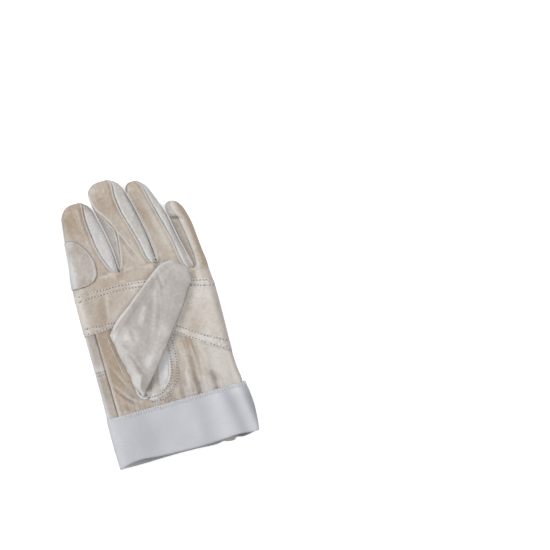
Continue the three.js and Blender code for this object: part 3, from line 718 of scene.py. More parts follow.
def make_mesh(name, points, quads, material, tint, dirt_and_shade=0.0, sharp=48):
    """A mesh object of those faces, with the place at rest, the tint, and the dirt and painted shade kept on
    its points.
    """
    count = len(points)
    used, quads = np.unique(quads, return_inverse=True)
    quads = quads.reshape(-1, 4)
    points = points[used]
    a, b, c, d = (points[quads[:, i]] for i in range(4))
    if (a * (np.cross(b, c) + np.cross(c, d))).sum() < 0:
        quads = quads[:, ::-1]
    mesh = bpy.data.meshes.new(name)
    mesh.vertices.add(len(points))
    mesh.vertices.foreach_set("co", to_row(points).ravel())
    mesh.loops.add(quads.size)
    mesh.loops.foreach_set("vertex_index", quads.ravel())
    mesh.polygons.add(len(quads))
    mesh.polygons.foreach_set("loop_start", np.arange(0, quads.size, 4))
    mesh.update(calc_edges=True)
    mesh.validate()
    layer = mesh.attributes.new("rest", "FLOAT_VECTOR", "POINT")
    layer.data.foreach_set("vector", points.astype(np.float32).ravel())
    for key, values in (("tint", tint), ("shade", dirt_and_shade)):
        layer = mesh.attributes.new(key, "FLOAT", "POINT")
        layer.data.foreach_set("value", np.broadcast_to(values, count)[used].astype(np.float32))
    mesh.materials.append(material)
    mesh.shade_smooth()
    mesh.set_sharp_from_angle(angle=math.radians(sharp))
    piece = bpy.data.objects.new(name, mesh)
    bpy.context.collection.objects.link(piece)
    return piece


def set_rest(piece, grid):
    """Lays the texture of a shell's two faces out by other places than its own."""
    places = np.tile(grid.reshape(-1, 3), (2, 1)).astype(np.float32)
    piece.data.attributes["rest"].data.foreach_set("vector", places.ravel())


def blurred(grid):
    """Each inner row of a grid, mixed with its two neighbours."""
    return np.concatenate([grid[:1], (grid[:-2] + 2 * grid[1:-1] + grid[2:]) / 4, grid[-1:]])


def cavity_wear_and_shade(outer, inner):
    """How far each point stands out of its surroundings, by which hollows are made darker and ridges paler:
    partly dirt and wear, partly painted shade and painted highlight.
    """
    soft = outer
    for _ in range(7):
        soft = blurred(soft)
        soft = blurred(soft.swapaxes(0, 1)).swapaxes(0, 1)
    return ((outer - soft) * unit(outer - inner)).sum(-1)


def shell(name, outer, inner, material, tint=0.0, dirt_and_shade=0.0, keep=None, ring=False, wear_and_shade=1.0):
    """A closed shell between two grids of points, or the part of it that keep allows."""
    rows, columns = outer.shape[:2]
    stands = wear_and_shade * cavity_wear_and_shade(outer, inner)
    # Hollows painted darker and ridges paler: partly dirt and wear, partly painted shade and painted
    # highlight.
    dirt_and_shade = dirt_and_shade + np.clip(-0.8 * stands, 0, 0.22)
    tint = tint - np.clip(1.6 * (stands - 0.04), 0, 0.4)
    total = rows * columns
    index = np.arange(total).reshape(rows, columns)
    if ring:
        index = np.concatenate([index, index[:, :1]], 1)
    quads = np.stack([index[:-1, :-1], index[:-1, 1:], index[1:, 1:], index[1:, :-1]], -1)
    quads = quads.reshape(-1, 4) if keep is None else quads[keep]
    edges = np.concatenate([quads[:, [i, (i + 1) % 4]] for i in range(4)])
    forward, backward = edges[:, 0] * total + edges[:, 1], edges[:, 1] * total + edges[:, 0]
    rim = edges[~np.isin(forward, backward)]
    sides = np.stack([rim[:, 1], rim[:, 0], rim[:, 0] + total, rim[:, 1] + total], -1)
    faces = np.concatenate([quads, quads[:, ::-1] + total, sides])
    points = np.concatenate([outer.reshape(-1, 3), inner.reshape(-1, 3)])
    return make_mesh(name, points, faces, material, np.tile(tint.ravel(), 2), np.tile(dirt_and_shade.ravel(), 2))


def circle(sides):
    """Shares of a round section's two directions."""
    turn = np.linspace(0, 2 * math.pi, sides + 1)[:-1]
    return np.cos(turn)[:, None], np.sin(turn)[:, None]


def axes_along(ahead):
    """Directions along, beside and over a path that heads that way."""
    ahead = unit(ahead)
    side = unit(np.cross(ahead, [0, 0, 1]))
    return ahead, side, np.cross(side, ahead)


def tube_faces(rows, sides):
    """Faces that join rings of points into a round strip, with a cap at each end."""
    i = np.arange(rows * sides).reshape(rows, sides)
    j = np.roll(i, -1, 1)
    faces = [np.stack([i[:-1], j[:-1], j[1:], i[1:]], -1).reshape(-1, 4)]
    for ring in (i[0][::-1], i[-1]):
        faces.append(np.array([ring[[0, n, n + 1, n + 2]] for n in range(1, sides - 2, 2)]))
    return np.concatenate(faces)


def tube(name, path, radius, material, tint, sides=10):
    """A closed round strip along a path, tapered at both ends."""
    _, side, up = (way[:, None] for way in axes_along(np.gradient(path, axis=0)))
    share = np.linspace(0, 1, len(path))
    girth = radius * np.sqrt(np.clip(1 - np.abs(2 * share - 1) ** 6, 0.03, 1))
    c, s = circle(sides)
    body = path[:, None] + (side * c + up * s) * girth[:, None, None]
    return make_mesh(name, body.reshape(-1, 3), tube_faces(len(path), sides), material, tint, sharp=60)


# A stitch: places along it, girth and bow, and its needle hole's two rings as radius and height
STITCH_SIDES = 6
STITCH_ALONG = np.array([-1, -0.72, -0.45, 0.45, 0.72, 1])[:, None]
STITCH_GIRTH = np.array([0.3, 0.78, 1, 1, 0.78, 0.3])[:, None, None]
STITCH_BOW = np.array([-0.55, -0.2, 0.12, 0.12, -0.2, -0.55])[:, None]
HOLE_RINGS = ((0.62, -0.15), (0.5, 0.22))
FINE_STITCH = dict(pitch=1.9, length=1.7, radius=0.26)


def thread(name, paths, material, pitch=2.4, length=1.3, radius=0.55, sink=0.0, holes=1.0):
    """Stitches along paths of surface points: short bowed grains of thread, and a needle hole after each,
    painted dark as the shade inside it.
    """
    c, s = circle(STITCH_SIDES)
    stitches = []
    for path in paths:
        run = lengths(path)
        places = np.arange(pitch / 2, run[-1], pitch)
        spans = [places + shift for shift in (-0.4, 0, 0.4)]
        before, middle, after = (np.stack([np.interp(span, run, v) for v in path.T], -1) for span in spans)
        ahead, side, up = (way[:, None] for way in axes_along(after - before))
        middle = middle[:, None]
        lift = radius * (0.4 + STITCH_BOW) - sink
        grain = middle + up * lift + ahead * (STITCH_ALONG * length / 2)
        body = grain[:, :, None] + (side * c + up * s)[:, None] * (STITCH_GIRTH * radius)
        rings = [(ahead * c + side * s) * (wide * holes) + up * high for wide, high in HOLE_RINGS]
        hole = middle + ahead * pitch / 2 + np.concatenate(rings, 1)
        stitches.append(np.concatenate([body.reshape(len(body), -1, 3), hole], 1))
    stitches = np.concatenate(stitches)
    grain_faces, hole_faces = tube_faces(len(STITCH_ALONG), STITCH_SIDES), tube_faces(2, STITCH_SIDES)
    grain_size, hole_size = grain_faces.max() + 1, hole_faces.max() + 1
    faces = np.concatenate([grain_faces, hole_faces + grain_size])
    faces = faces + (grain_size + hole_size) * np.arange(len(stitches))[:, None, None]
    # The needle holes are painted dark: painted shade inside them.
    dark = np.concatenate([np.zeros(grain_size), np.ones(hole_size)])
    points, quads = stitches.reshape(-1, 3), faces.reshape(-1, 4)
    return make_mesh(name, points, quads, material, 0.0, np.tile(dark, len(stitches)), 60)


# Nodes
def link(tree, kind, inputs=(), **settings):
    """A new node with its settings, and with each input a value or a link."""
    node = tree.nodes.new(kind)
    for key, value in settings.items():
        setattr(node, key, value)
    for key, value in dict(inputs).items():
        if isinstance(value, bpy.types.NodeSocket):
            tree.links.new(value, node.inputs[key])
        else:
            node.inputs[key].default_value = value
    return node


def new_material(name):
    material = bpy.data.materials.new(name)
    material.use_nodes = True
    material.node_tree.nodes.clear()
    return material, material.node_tree


def principled(tree, inputs):
    shader = link(tree, "ShaderNodeBsdfPrincipled", inputs)
    link(tree, "ShaderNodeOutputMaterial", {0: shader.outputs[0]})


def attribute(tree, name, output="Fac"):
    return link(tree, "ShaderNodeAttribute", attribute_name=name).outputs[output]


def cloud(tree, place, scale, detail, rough=0.5, bend=0.0):
    inputs = {"Vector": place, "Scale": scale, "Detail": detail, "Roughness": rough, "Distortion": bend}
    return link(tree, "ShaderNodeTexNoise", inputs).outputs


def cells(tree, place, scale, random, feature="F1"):
    inputs = {"Vector": place, "Scale": scale, "Randomness": random}
    return link(tree, "ShaderNodeTexVoronoi", inputs, feature=feature).outputs["Distance"]


def wave(tree, place, scale, way):
    inputs = {"Vector": place, "Scale": scale, "Distortion": 0.3, "Detail": 1.0, "Detail Scale": 0.2}
    return link(tree, "ShaderNodeTexWave", inputs, bands_direction=way).outputs["Fac"]


def maths(tree, operation, a, b):
    return link(tree, "ShaderNodeMath", {0: a, 1: b}, operation=operation).outputs[0]


def weighted_sum(tree, value, *terms):
    """The value plus each further value times its share."""
    for term, share in terms:
        value = maths(tree, "ADD", value, maths(tree, "MULTIPLY", term, share))
    return value


def map_range(tree, value, source, target=(0.0, 1.0)):
    names = ("From Min", "From Max", "To Min", "To Max")
    inputs = {"Value": value, **dict(zip(names, (*source, *target)))}
    return link(tree, "ShaderNodeMapRange", inputs).outputs[0]


def bump(tree, height, strength, distance):
    inputs = {"Strength": strength, "Distance": distance, "Height": height}
    return link(tree, "ShaderNodeBump", inputs).outputs[0]


def mix_colour(tree, share, a, b):
    return link(tree, "ShaderNodeMix", {0: share, 6: a, 7: b}, data_type="RGBA").outputs[2]


def srgb(r, g, b):
    linear = [(c / 255 / 12.92) if c <= 10 else ((c / 255 + 0.055) / 1.055) ** 2.4 for c in (r, g, b)]
    return (*linear, 1)


def darker(colour, *shares):
    return (*(c * share for c, share in zip(colour, shares)), 1)


# Materials
def leather(name, pale, tan, rough, grain):
    """Grain leather: tan that varies over the hide, pores, fine creases, and darkening by the points' dirt
    and painted shade.
    """
    material, tree = new_material(name)
    place = attribute(tree, "rest", "Vector")
    hide = cloud(tree, place, 0.06, 5.0, 0.62)["Fac"]
    mottle = cloud(tree, place, 0.42, 4.0, 0.6)["Fac"]
    crease = cloud(tree, place, 1.1, 6.0, 0.66, 0.6)
    folds = cloud(tree, place, 0.2, 3.0, 0.6, 1.2)["Fac"]
    pores = cells(tree, place, grain, 0.95)
    share = weighted_sum(tree, attribute(tree, "tint"), (hide, 0.7), (mottle, 0.6))
    share = maths(tree, "SUBTRACT", share, 0.65)
    share = link(tree, "ShaderNodeClamp", {"Value": share, "Max": 1.3}).outputs[0]
    bent = link(tree, "ShaderNodeVectorMath", {0: place, 1: crease["Color"]}, operation="ADD").outputs[0]
    crackle = cells(tree, bent, 0.3, 1.0, "DISTANCE_TO_EDGE")
    lines = maths(tree, "MULTIPLY", map_range(tree, crackle, (0.0, 0.11), (1.0, 0.0)), mottle)
    pits = map_range(tree, pores, (0.35, 0.75))
    grime_and_shade = weighted_sum(tree, attribute(tree, "shade"), (pits, 0.07), (lines, 0.11))
    colour = mix_colour(tree, grime_and_shade, mix_colour(tree, share, pale, tan), darker(tan, 0.34, 0.31, 0.28))
    height = weighted_sum(tree, crease["Fac"], (pores, -0.55), (mottle, 1.0), (folds, 1.6), (lines, -0.8))
    principled(tree, {
        "Base Color": colour,
        "Roughness": map_range(tree, mottle, (0.3, 0.7), (rough - 0.07, rough + 0.08)),
        "Normal": bump(tree, height, 0.5, 0.0005),
        "Specular IOR Level": 0.32,
    })
    return material


def elastic(name, colour):
    """Ribbed elastic: vertical ribs crossed by fine rubber rows, painted darker in the hollows between them
    as shade.
    """
    material, tree = new_material(name)
    place = attribute(tree, "rest", "Vector")
    ribs = wave(tree, place, 0.185, "X")
    rows = wave(tree, place, 0.4, "Y")
    fuzz = cloud(tree, place, 2.6, 3.0)["Fac"]
    soil = cloud(tree, place, 0.07, 3.0)["Fac"]
    height = weighted_sum(tree, ribs, (rows, 0.45), (fuzz, 0.8))
    painted_rib_shade = map_range(tree, height, (0.25, 1.5), (0.09, 0.0))
    grime_and_shade = weighted_sum(tree, painted_rib_shade, (soil, 0.12), (attribute(tree, "shade"), 1.0))
    principled(tree, {
        "Base Color": mix_colour(tree, grime_and_shade, colour, darker(colour, 0.42, 0.42, 0.44)),
        "Normal": bump(tree, height, 0.3, 0.0003),
        "Roughness": 0.9,
        "Specular IOR Level": 0.2,
        "Sheen Weight": 0.12,
    })
    return material


def fibre(name, colour, scale, depth, rough):
    """Thread or touch tape: twisted or looped fibres, painted darker where they lie low as the shade between
    them, and needle holes painted dark as the shade inside them.
    """
    material, tree = new_material(name)
    place = attribute(tree, "rest", "Vector")
    loops = cells(tree, place, scale, 0.8)
    fuzz = cloud(tree, place, scale * 1.7, 4.0)["Fac"]
    height = weighted_sum(tree, fuzz, (loops, -0.7))
    share = map_range(tree, height, (-0.2, 0.55), (0.75, 0.0))
    fibres = mix_colour(tree, share, colour, darker(colour, 0.5, 0.5, 0.5))
    principled(tree, {
        "Base Color": mix_colour(tree, attribute(tree, "shade"), fibres, darker(colour, 0.27, 0.25, 0.23)),
        "Normal": bump(tree, height, 0.6, depth),
        "Roughness": rough,
        "Specular IOR Level": 0.25,
    })
    return material


TAN = leather("tan_leather", srgb(211, 205, 199), srgb(172, 155, 137), rough=0.6, grain=1.5)
PALE = leather("pale_leather", srgb(218, 218, 219), srgb(176, 165, 154), rough=0.58, grain=1.3)
WARM = leather("band_leather", srgb(219, 214, 208), srgb(176, 162, 148), rough=0.6, grain=1.4)
GREY = leather("thumb_leather", srgb(222, 219, 216), srgb(174, 167, 163), rough=0.56, grain=1.3)
CUFF = elastic("cuff_elastic", srgb(214, 215, 220))
TAPE = fibre("fastening_tape", srgb(196, 193, 188), scale=2.2, depth=0.0005, rough=0.95)
CUFF_THREAD = fibre("cuff_thread", srgb(236, 236, 240), scale=5.0, depth=0.0001, rough=0.7)
THREAD = fibre("sewing_thread", srgb(232, 228, 222), scale=5.0, depth=0.0001, rough=0.7)


# What the pieces share
def blotch(x, y, seed):
    return 0.2 * layered(x / 21, y / 25, seed) + 0.09 * layered(x / 6, y / 8, seed + 5)


def finish_piece(piece, nodes=(), body="hand", across=None):
    """Hides the CAD nodes that the piece stands for, and ties it to a body; a piece across two bodies is only
    baked in place.
    """
    if nodes:
        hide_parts(*nodes)
    if across:
        first, second, start, end = across
        tuple(to_row([start])[0])
        tuple(to_row([end])[0])
        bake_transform(piece)
    else:
        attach(piece, body)


def flex(k):
    """The two bodies of stall k and the ends of a span over its knuckle line."""
    start, end = ((0, KNUCKLE_Y + run, STALL_BASE_TOP) for run in (-FLEX_HALF, FLEX_HALF))
    return ("hand", STALLS[k]["name"], start, end)


def edge_run(points):
    """Distances of each grid point from the two ends of its row."""
    run = lengths(points)
    return run, run[:, -1:] - run


def rolled(run, drop=0.5, width=1.3):
    """Depth by which an edge turns down."""
    return drop * (1 - smooth(run, 0, width))


# Finger stalls
def crotch_pit_shade(x, y):
    """Painted shade at the ends of the seams between the fingers, where they dip into the crotches."""
    places = [(bound(k + 1, crotch), crotch + SEAM_REACH) for k, crotch in enumerate(CROTCH_Y)]
    return marks(x, y, [(place, PIT_SIZE, PIT_SHADE) for place in places])


def opened(y, crotch):
    """How far the seam over a crotch is open, 0 below it. The hand's two sides are open all along."""
    if crotch not in range(len(CROTCH_Y)):
        return 1.0
    return smooth(y, CROTCH_Y[crotch], CROTCH_Y[crotch] + SEAM_REACH)[:, None]


def lip(run, bead):
    """Depth beside a seam: the edge turned down, a raised bead along it and a dip behind that."""
    return rolled(run, 0.5, 0.7) - bead * peak(run, 1.1, 0.75) + 0.5 * bead * peak(run, 3.2, 1.1)


def stall_panel(
    name, k, rows, edges, columns, material, tint,
    rolls=(1.0, 1.0), sunk=0.0, bead=0.0, grime_and_shade=0.0, pleat=0.0, line=0.26, rubbed_highlight=(0.4, 0.4),
):
    """A panel of stall k between two seams, darker in the seams as dirt and painted shade in the groove, with
    painted shade at the crotches and in the gaps, and a pale line beside each seam that is wear and painted
    highlight.
    """
    angle = angle_grid(k, rows, *edges, columns)
    y = rows[:, None]
    runs = edge_run(stall_point(k, y, angle, 0))
    roll = sum(lip(run, bead) * share for run, share in zip(runs, rolls))
    turn = 2 * math.pi * (y + 0.35 * runs[0]) / PLEAT_PITCH + 2 * layered(y / 9, runs[0] / 6, 75)
    pleats = pleat * np.sin(turn) * smooth(STALLS[k]["tip"] - y, 2, 9)
    outer = stall_point(k, y, angle, sunk + roll + pleats)
    inner = stall_point(k, y, angle, LEATHER + sunk)
    x = outer[..., 0]
    nears = [run + 40 * (1 - share) for run, share in zip(runs, rolls)]
    near = np.minimum(*nears)
    section = stall_section(k, y)
    # Painted shade in the gaps beside the neighbouring stalls.
    gap_shade = np.where(x < section["centre"], *GAP_SHADES[k]) * smooth(y, 160, 168)
    gap_shade = gap_shade * peak(section["half"] - np.abs(x - section["centre"]), 0, 0.8)
    dirt_and_shade = grime_and_shade + line * peak(near, 0, 0.55) + 0.06 * fade(near, 0, 3) + crotch_pit_shade(x, y) + gap_shade
    # Pale line beside each seam: wear and painted highlight.
    bright = sum(share * peak(run, 1.2, 0.6) for share, run in zip(rubbed_highlight, nears))
    return shell(name, outer, inner, material, tint(x, outer[..., 1]) - bright, dirt_and_shade)


def front_edges(k, y):
    """Angles of a front panel's far-side and thumb-side seams."""
    low, high = np.full(len(y), SIDE), np.full(len(y), math.pi - SIDE)
    if k < 3:
        x = curve(y, (INDEX_SEAM, MIDDLE_RIGHT, RING_RIGHT)[k])
        low = np.where(y > CROTCH_Y[k], seam_angle(k, y, x), 0.0)
    if k > 0:
        x = bound(2, y) + 0.75 if k == 2 else curve(y, MIDDLE_LEFT if k == 1 else LITTLE_LEFT)
        high = np.where(y > CROTCH_Y[k - 1], seam_angle(k, y, x), math.pi)
    return low, high


def index_tint(x, y):
    # Paler towards the left outline: painted highlight on the lit edge.
    tint = 0.64 + 0.4 * smooth(y, 192, 212) - 0.55 * smooth(-x, 46.5, 52.5)
    return tint + marks(x, y, INDEX_SPOTS, INDEX_LINES) + blotch(x, y, 3)


def middle_tint(x, y):
    tint = 0.62 + 0.12 * smooth(y, 180, 205)
    # A pale line along the left edge near the tip: painted highlight on the ridge there.
    tint = tint - 0.4 * peak(x, curve(y, MIDDLE_LEFT) + 2.5, 2) * smooth(y, 196, 204)
    return tint + marks(x, y, MIDDLE_SPOTS, MIDDLE_LINES) + blotch(x, y, 5)


def ring_tint(x, y):
    tint = 0.58 + 0.3 * smooth(y, 180, 205) - 0.1 * smooth(160 - y, 0, 12)
    # A pale line beside the left seam: painted highlight on the ridge of the front's edge.
    return tint - 0.4 * peak(x, bound(2, y) + 3, 1.6) + marks(x, y, lines=RING_LINES) + blotch(x, y, 7)


def little_tint(x, y):
    # A pale line beside the left seam: painted highlight on the front's edge.
    tint = 0.84 + 0.1 * smooth(y, 170, 200) - 0.9 * peak(x, curve(y, LITTLE_LEFT) + 1.2, 3)
    # More tan towards the right outline: painted shade on the side away from the light.
    tint = tint + 0.3 * smooth(x - bound(4, y), -4, -1) - 0.5 * smooth(150 - y, 0, 8)
    return tint + blotch(x, y, 9)


FRONT_TINTS = (index_tint, middle_tint, ring_tint, little_tint)


def ring_far_tint(x, y):
    # More tan towards the tip: painted shade where the wall narrows.
    return 0.5 - 0.2 * peak(y, 199, 10) + 0.2 * smooth(y, 212, 228) + 0.5 * blotch(x, y, 17)


# Tint of the walls between the fingers, on some more tan towards the tip as painted shade where they narrow,
# and a darkening that is painted shade between the fingers
WALLS = {
    "index_far_side": (lambda x, y: 0.3 + 0.7 * smooth(y, 214, 224) + 0.5 * blotch(x, y, 13), 0.07),
    "middle_thumb_side": (lambda x, y: 0.75 + 0.5 * blotch(x, y, 15), 0.13),
    "middle_far_side": (lambda x, y: 0.55 + 0.25 * smooth(y, 216, 232) + 0.5 * blotch(x, y, 16), 0.03),
    "ring_thumb_side": (lambda x, y: 0.3 + 0.5 * blotch(x, y, 18), 0.06),
    "ring_far_side": (ring_far_tint, 0.02),
    "little_thumb_side": (lambda x, y: 1.05 - 0.5 * smooth(y, 194.2, 196.8) + 0.5 * blotch(x, y, 19), 0.13),
}


def back_tint(x, y):
    return 0.3 + 0.6 * blotch(x, y, 29)


def make_front(k):
    name, look = STALLS[k]["name"], FRONTS[k]
    y = stall_rows(k, STALLS[k]["start"])
    front = stall_panel(
        f"{name}_front_leather", k, y, front_edges(k, y), 48, TAN, FRONT_TINTS[k],
        (opened(y, k), opened(y, k - 1) * look["roll"]),
        bead=look["bead"], line=look["line"], rubbed_highlight=(0.4, look["rubbed_highlight"]),
    )
    finish_piece(front, [f"{name}_front"], across=flex(k))


def make_back(k):
    name = STALLS[k]["name"]
    y = stall_rows(k, BACK_END_Y)
    low, high = np.full(len(y), SIDE - math.pi), np.full(len(y), -SIDE)
    if k > 0:
        low = np.where(y > CROTCH_Y[k - 1], LOW_SEAM - math.pi, -math.pi)
    if k < 3:
        high = np.where(y > CROTCH_Y[k], -LOW_SEAM, -1e-6)
    rolls = (opened(y, k - 1), opened(y, k))
    back = stall_panel(f"{name}_back_leather", k, y, (low, high), 40, PALE, back_tint, rolls)
    finish_piece(back, [f"{name}_back"], across=flex(k))


def make_wall(k, side):
    name = STALLS[k]["name"]
    far = side == "far_side"
    y = stall_rows(k, CROTCH_Y[k if far else k - 1] + WALL_START, 0.6)
    low, high = front_edges(k, y)
    edge = WALL_GAP / np.maximum(stall_section(k, y)["half"], 2)
    if far:
        edges = (np.full(len(y), WALL_TO_BACK - LOW_SEAM), low - edge)
    else:
        edges = (high + edge, np.full(len(y), math.pi + LOW_SEAM - WALL_TO_BACK))
    tint, grime_and_shade = WALLS[f"{name}_{side}"]
    rubbed_highlight = (0.0, 0.0) if k == 3 else (0.0, 0.4) if far else (0.4, 0.0)
    wall = stall_panel(
        f"{name}_{side}_leather", k, y, edges, 24, PALE, tint,
        sunk=WALL_SUNK, grime_and_shade=grime_and_shade, pleat=PLEAT, line=0.12 if k == 3 else 0.26, rubbed_highlight=rubbed_highlight,
    )
    finish_piece(wall, [f"{name}_fourchette_{side}"], across=flex(k))


def make_index_patch():
    """From the stall's outer side to its curved edge."""
    rows = np.linspace(*PATCH_SPAN, 56)
    y = rows[:, None]
    edge = seam_angle(0, rows, curve(rows, PATCH_EDGE))
    angle = angle_grid(0, rows, edge, np.full(len(rows), math.pi - SIDE), 30)
    edge_distance = edge_run(stall_point(0, y, angle, 0))[0]
    ends = np.minimum(np.minimum(y - rows[0], rows[-1] - y), edge_distance)
    outer = stall_point(0, y, angle, -OVERLAY + rolled(ends, 0.8, 1.0))
    inner = stall_point(0, y, angle, -LAP_GAP)
    x = outer[..., 0]
    # Paler towards the left outline: painted highlight on the lit edge.
    tint = 0.72 + 0.2 * smooth(y, 180, 192) - 0.8 * smooth(-x, 49, 57)
    tint = tint + marks(x, y, PATCH_SPOTS) + blotch(x, outer[..., 1], 33)
    # Darker along the patch's edges: painted shade of its raised edge.
    dirt_and_shade = 0.5 * peak(ends, 0, 0.7) + 0.12 * fade(ends, 0, 3)
    patch = shell("index_patch_leather", outer, inner, PALE, tint, dirt_and_shade)
    finish_piece(patch, ["index_patch"], across=flex(0))


# The hand's panels
def hand_panel(name, t, y, depths, material, tint, dirt_and_shade=0.0, roll=0.0, keep=None, point=palm_point, wear_and_shade=1.0):
    outer = point(t, y, depths[0] + roll)
    inner = point(t, y, depths[1] + 0 * roll)
    return shell(name, outer, inner, material, tint(outer[..., 0], outer[..., 1]), dirt_and_shade, keep, wear_and_shade=wear_and_shade)


def band_edges(t):
    return curve(HALF_HAND * t, BAND_TOP), curve(HALF_HAND * t, BAND_FOOT)


def band_depth(x, to_edge, far):
    """Depth of the rounded raw edge and of the leather pulled down and puckered along the two stitch rows."""
    pucker = 0.3 * noise(x / 1.5, to_edge / 1.3, 36) * (1 - smooth(to_edge, far, far + 2.5))
    pucker = pucker * smooth(to_edge, 0.2, 1) * (0.6 + 0.6 * smooth(-x, 30, 55) + 0.7 * smooth(x, 25, 45))
    swell = 0.12 * peak(to_edge, (ROW_NEAR + far) / 2, 1.2)
    pulled = 0.3 * peak(to_edge, ROW_NEAR, 0.7) + 0.32 * peak(to_edge, far, 0.8)
    return rolled(to_edge, 0.55, 1.0) + pulled - swell + pucker


def band_tint(x, y):
    # Paler at the far left end: painted highlight on the lit outline.
    tint = 0.58 + 0.16 * smooth(-x, 20, 40) - 0.52 * smooth(x, -18, 30) - 0.9 * smooth(-x, 50, 59)
    tint = tint + 0.25 * smooth(x, 40, 52) * smooth(126 - y, 0, 14)
    return tint + marks(x, y, BAND_SPOTS, BAND_LINES) + blotch(x, y, 37)


def make_band():
    t = hand_columns(190)[None]
    edge_rows = np.linspace(0, 0.08, 9)[:-1]
    v = np.concatenate([edge_rows, np.linspace(0.08, 0.92, 40), 1 - edge_rows[::-1]])[:, None]
    top, foot = band_edges(t)
    y = foot + (top - foot) * v
    x = HALF_HAND * t
    to_edge = np.minimum(top - y, y - foot)
    far = np.where(top - y < y - foot, curve(x, TOP_ROW_FAR), curve(x, FOOT_ROW_FAR))
    # Paler along and between the stitch rows: painted highlight on the puckered leather.
    sewn = (0.02 + 0.08 * smooth(x, -20, 10)) * (1 - smooth(to_edge, far, far + 2.5))
    # Darker along the edges, and towards the right side as painted shade away from the light.
    dirt_and_shade = 0.1 * peak(to_edge, 0, 0.5) + 0.35 * smooth(t, 0.88, 0.97)
    band = hand_panel(
        "palm_band_leather", t, y, (-BAND_LIFT, -PATCH_GAP), WARM, lambda x, y: band_tint(x, y) - sewn, dirt_and_shade,
        band_depth(x, to_edge, far), wear_and_shade=0.6,
    )
    finish_piece(band, ["palm_band"])


def make_upper_palm():
    """The strip under the band's upper edge."""
    t = hand_columns(190)[None]
    start, end = UPPER_SPAN
    y = band_edges(t)[0] - start + (start - end) * np.linspace(0, 1, 12)[:, None]
    depths = (LEATHER + 0.2, 2 * LEATHER)
    lap = hand_panel("palm_upper_leather", t, y, depths, TAN, lambda x, y: 0.6 + blotch(x, y, 39))
    finish_piece(lap, ["palm_upper"])


def seam_dip(x):
    """The gusset seam: a groove with the leather swelling on both sides of it."""
    d = x - GUSSET_X
    return 0.95 * peak(d, 0, 0.55) - np.where(d > 0, 0.4, 0.1) * peak(np.abs(d), 2.0, 1.1)


def seam_end_shade(x, y):
    """Painted shade where the gusset seam runs under the band."""
    return 0.35 * peak(x, GUSSET_X, 1.6) * smooth(y, 102, 110)


def lower_tint(x, y):
    strip = smooth(-x, 30, 40) * (0.5 + 0.15 * smooth(y, 70, 100))
    # Pale beside the gusset seam as painted highlight, and paler over the lower right and at the foot of the
    # tan strip.
    rubbed_highlight = 0.5 * peak(x, GUSSET_X + 2.4, 1.6) * (0.4 + 0.6 * smooth(95 - y, 0, 15))
    rubbed_highlight = rubbed_highlight + 0.9 * smooth(x, 15, 41) + 0.35 * smooth(49 - y, 0, 5) * smooth(-x, 34, 42)
    streaks = 0.3 * layered(x / 1.6, y / 22, 45) * fade(y, CUFF_LENGTH, 16)
    streaks = streaks + 0.4 * layered((x + 0.1 * y) / 1.5, y / 15, 46) * spot(x, y, *WRINKLES)
    return 0.62 + 0.75 * strip - rubbed_highlight + streaks + marks(x, y, LOWER_SPOTS, LOWER_LINES) + blotch(x, y, 43)


def lower_dirt_and_shade(x, y, t):
    dirt_and_shade = (0.32 + 0.2 * smooth(y, 80, 92)) * peak(x, GUSSET_X, 0.8) + seam_end_shade(x, y)
    # Painted shade in the valleys of the gathers, in the listed spots and towards the right side.
    dirt_and_shade = dirt_and_shade + 0.075 * np.clip(-gathers(x, y), 0, 3) * fade(y, CUFF_LENGTH, 20)
    for middle, width, dark, low, high in DARK_VALLEYS:
        dirt_and_shade = dirt_and_shade + dark * peak(x, middle, width) * (1 - smooth(y, low, high))
    return dirt_and_shade + marks(x, y, LOWER_SHADE_SPOTS) + 0.35 * smooth(t, 0.94, 0.99)


def make_lower_palm():
    columns = hand_columns(170, hand_share(GUSSET_X, LOWER_MIDDLE_Y))
    foot = band_edges(columns)[1]
    y = HAND_START + (foot + BAND_LAP - HAND_START) * np.linspace(0, 1, 110)[:, None]
    seam_t = hand_share(GUSSET_X + SEAM_GAP, y)
    t = seam_t + (columns - columns[0]) / (1 - columns[0]) * (1 - seam_t)
    keep, x, y = cut_hole(hand_x(t, y), y)
    t = hand_share(x, y)
    dirt_and_shade = lower_dirt_and_shade(x, y, t)
    lower = hand_panel("palm_lower_leather", t, y, (0, LEATHER), TAN, lower_tint, dirt_and_shade, seam_dip(x), keep)
    finish_piece(lower, ["palm_lower"])


def gusset_tint(x, y):
    # Paler towards the left outline: painted highlight on the lit edge.
    return 0.88 - 0.8 * smooth(-x, 55.5, 59.5) - 0.35 * peak(y, 86, 5) + 0.6 * blotch(x, y, 47)


def make_gusset():
    y = np.linspace(HAND_START, GUSSET_END_Y, 80)[:, None]
    edge = np.arccos(signed_power(hand_share(GUSSET_X - SEAM_GAP, y), SQUARE / 2))
    angle = edge + (math.pi - edge) * np.linspace(0, 1, 26)
    t = signed_power(np.cos(angle), 2 / SQUARE)
    x = hand_x(t, y)
    dirt_and_shade = 0.3 * peak(x, GUSSET_X, 0.9) + seam_end_shade(x, y) + 0.08 * peak(y, GUSSET_SEAM_Y, 0.7)
    dip = seam_dip(x) + 0.3 * peak(y, GUSSET_SEAM_Y, 0.6)
    gusset = hand_panel("thumb_gusset_leather", t, y, (0, LEATHER), PALE, gusset_tint, dirt_and_shade, dip, wear_and_shade=0.15)
    finish_piece(gusset, ["thumb_gusset"])


def make_hand_back():
    t = hand_columns(150)
    y = np.linspace(HAND_START, BACK_END_Y, 120)[:, None]
    back = hand_panel("back_leather", t, y, (0, LEATHER), PALE, back_tint, point=back_point)
    finish_piece(back, ["back_panel"])


# Saddle patch round the foot of the thumb: a tan ring with two stitch rows, pale inside
def saddle_plan(v, u):
    inner, outer = (plan_curve(v, SADDLE_V, edge) for edge in (SADDLE_INNER, SADDLE_OUTER))
    return inner + (outer - inner) * u[..., None]


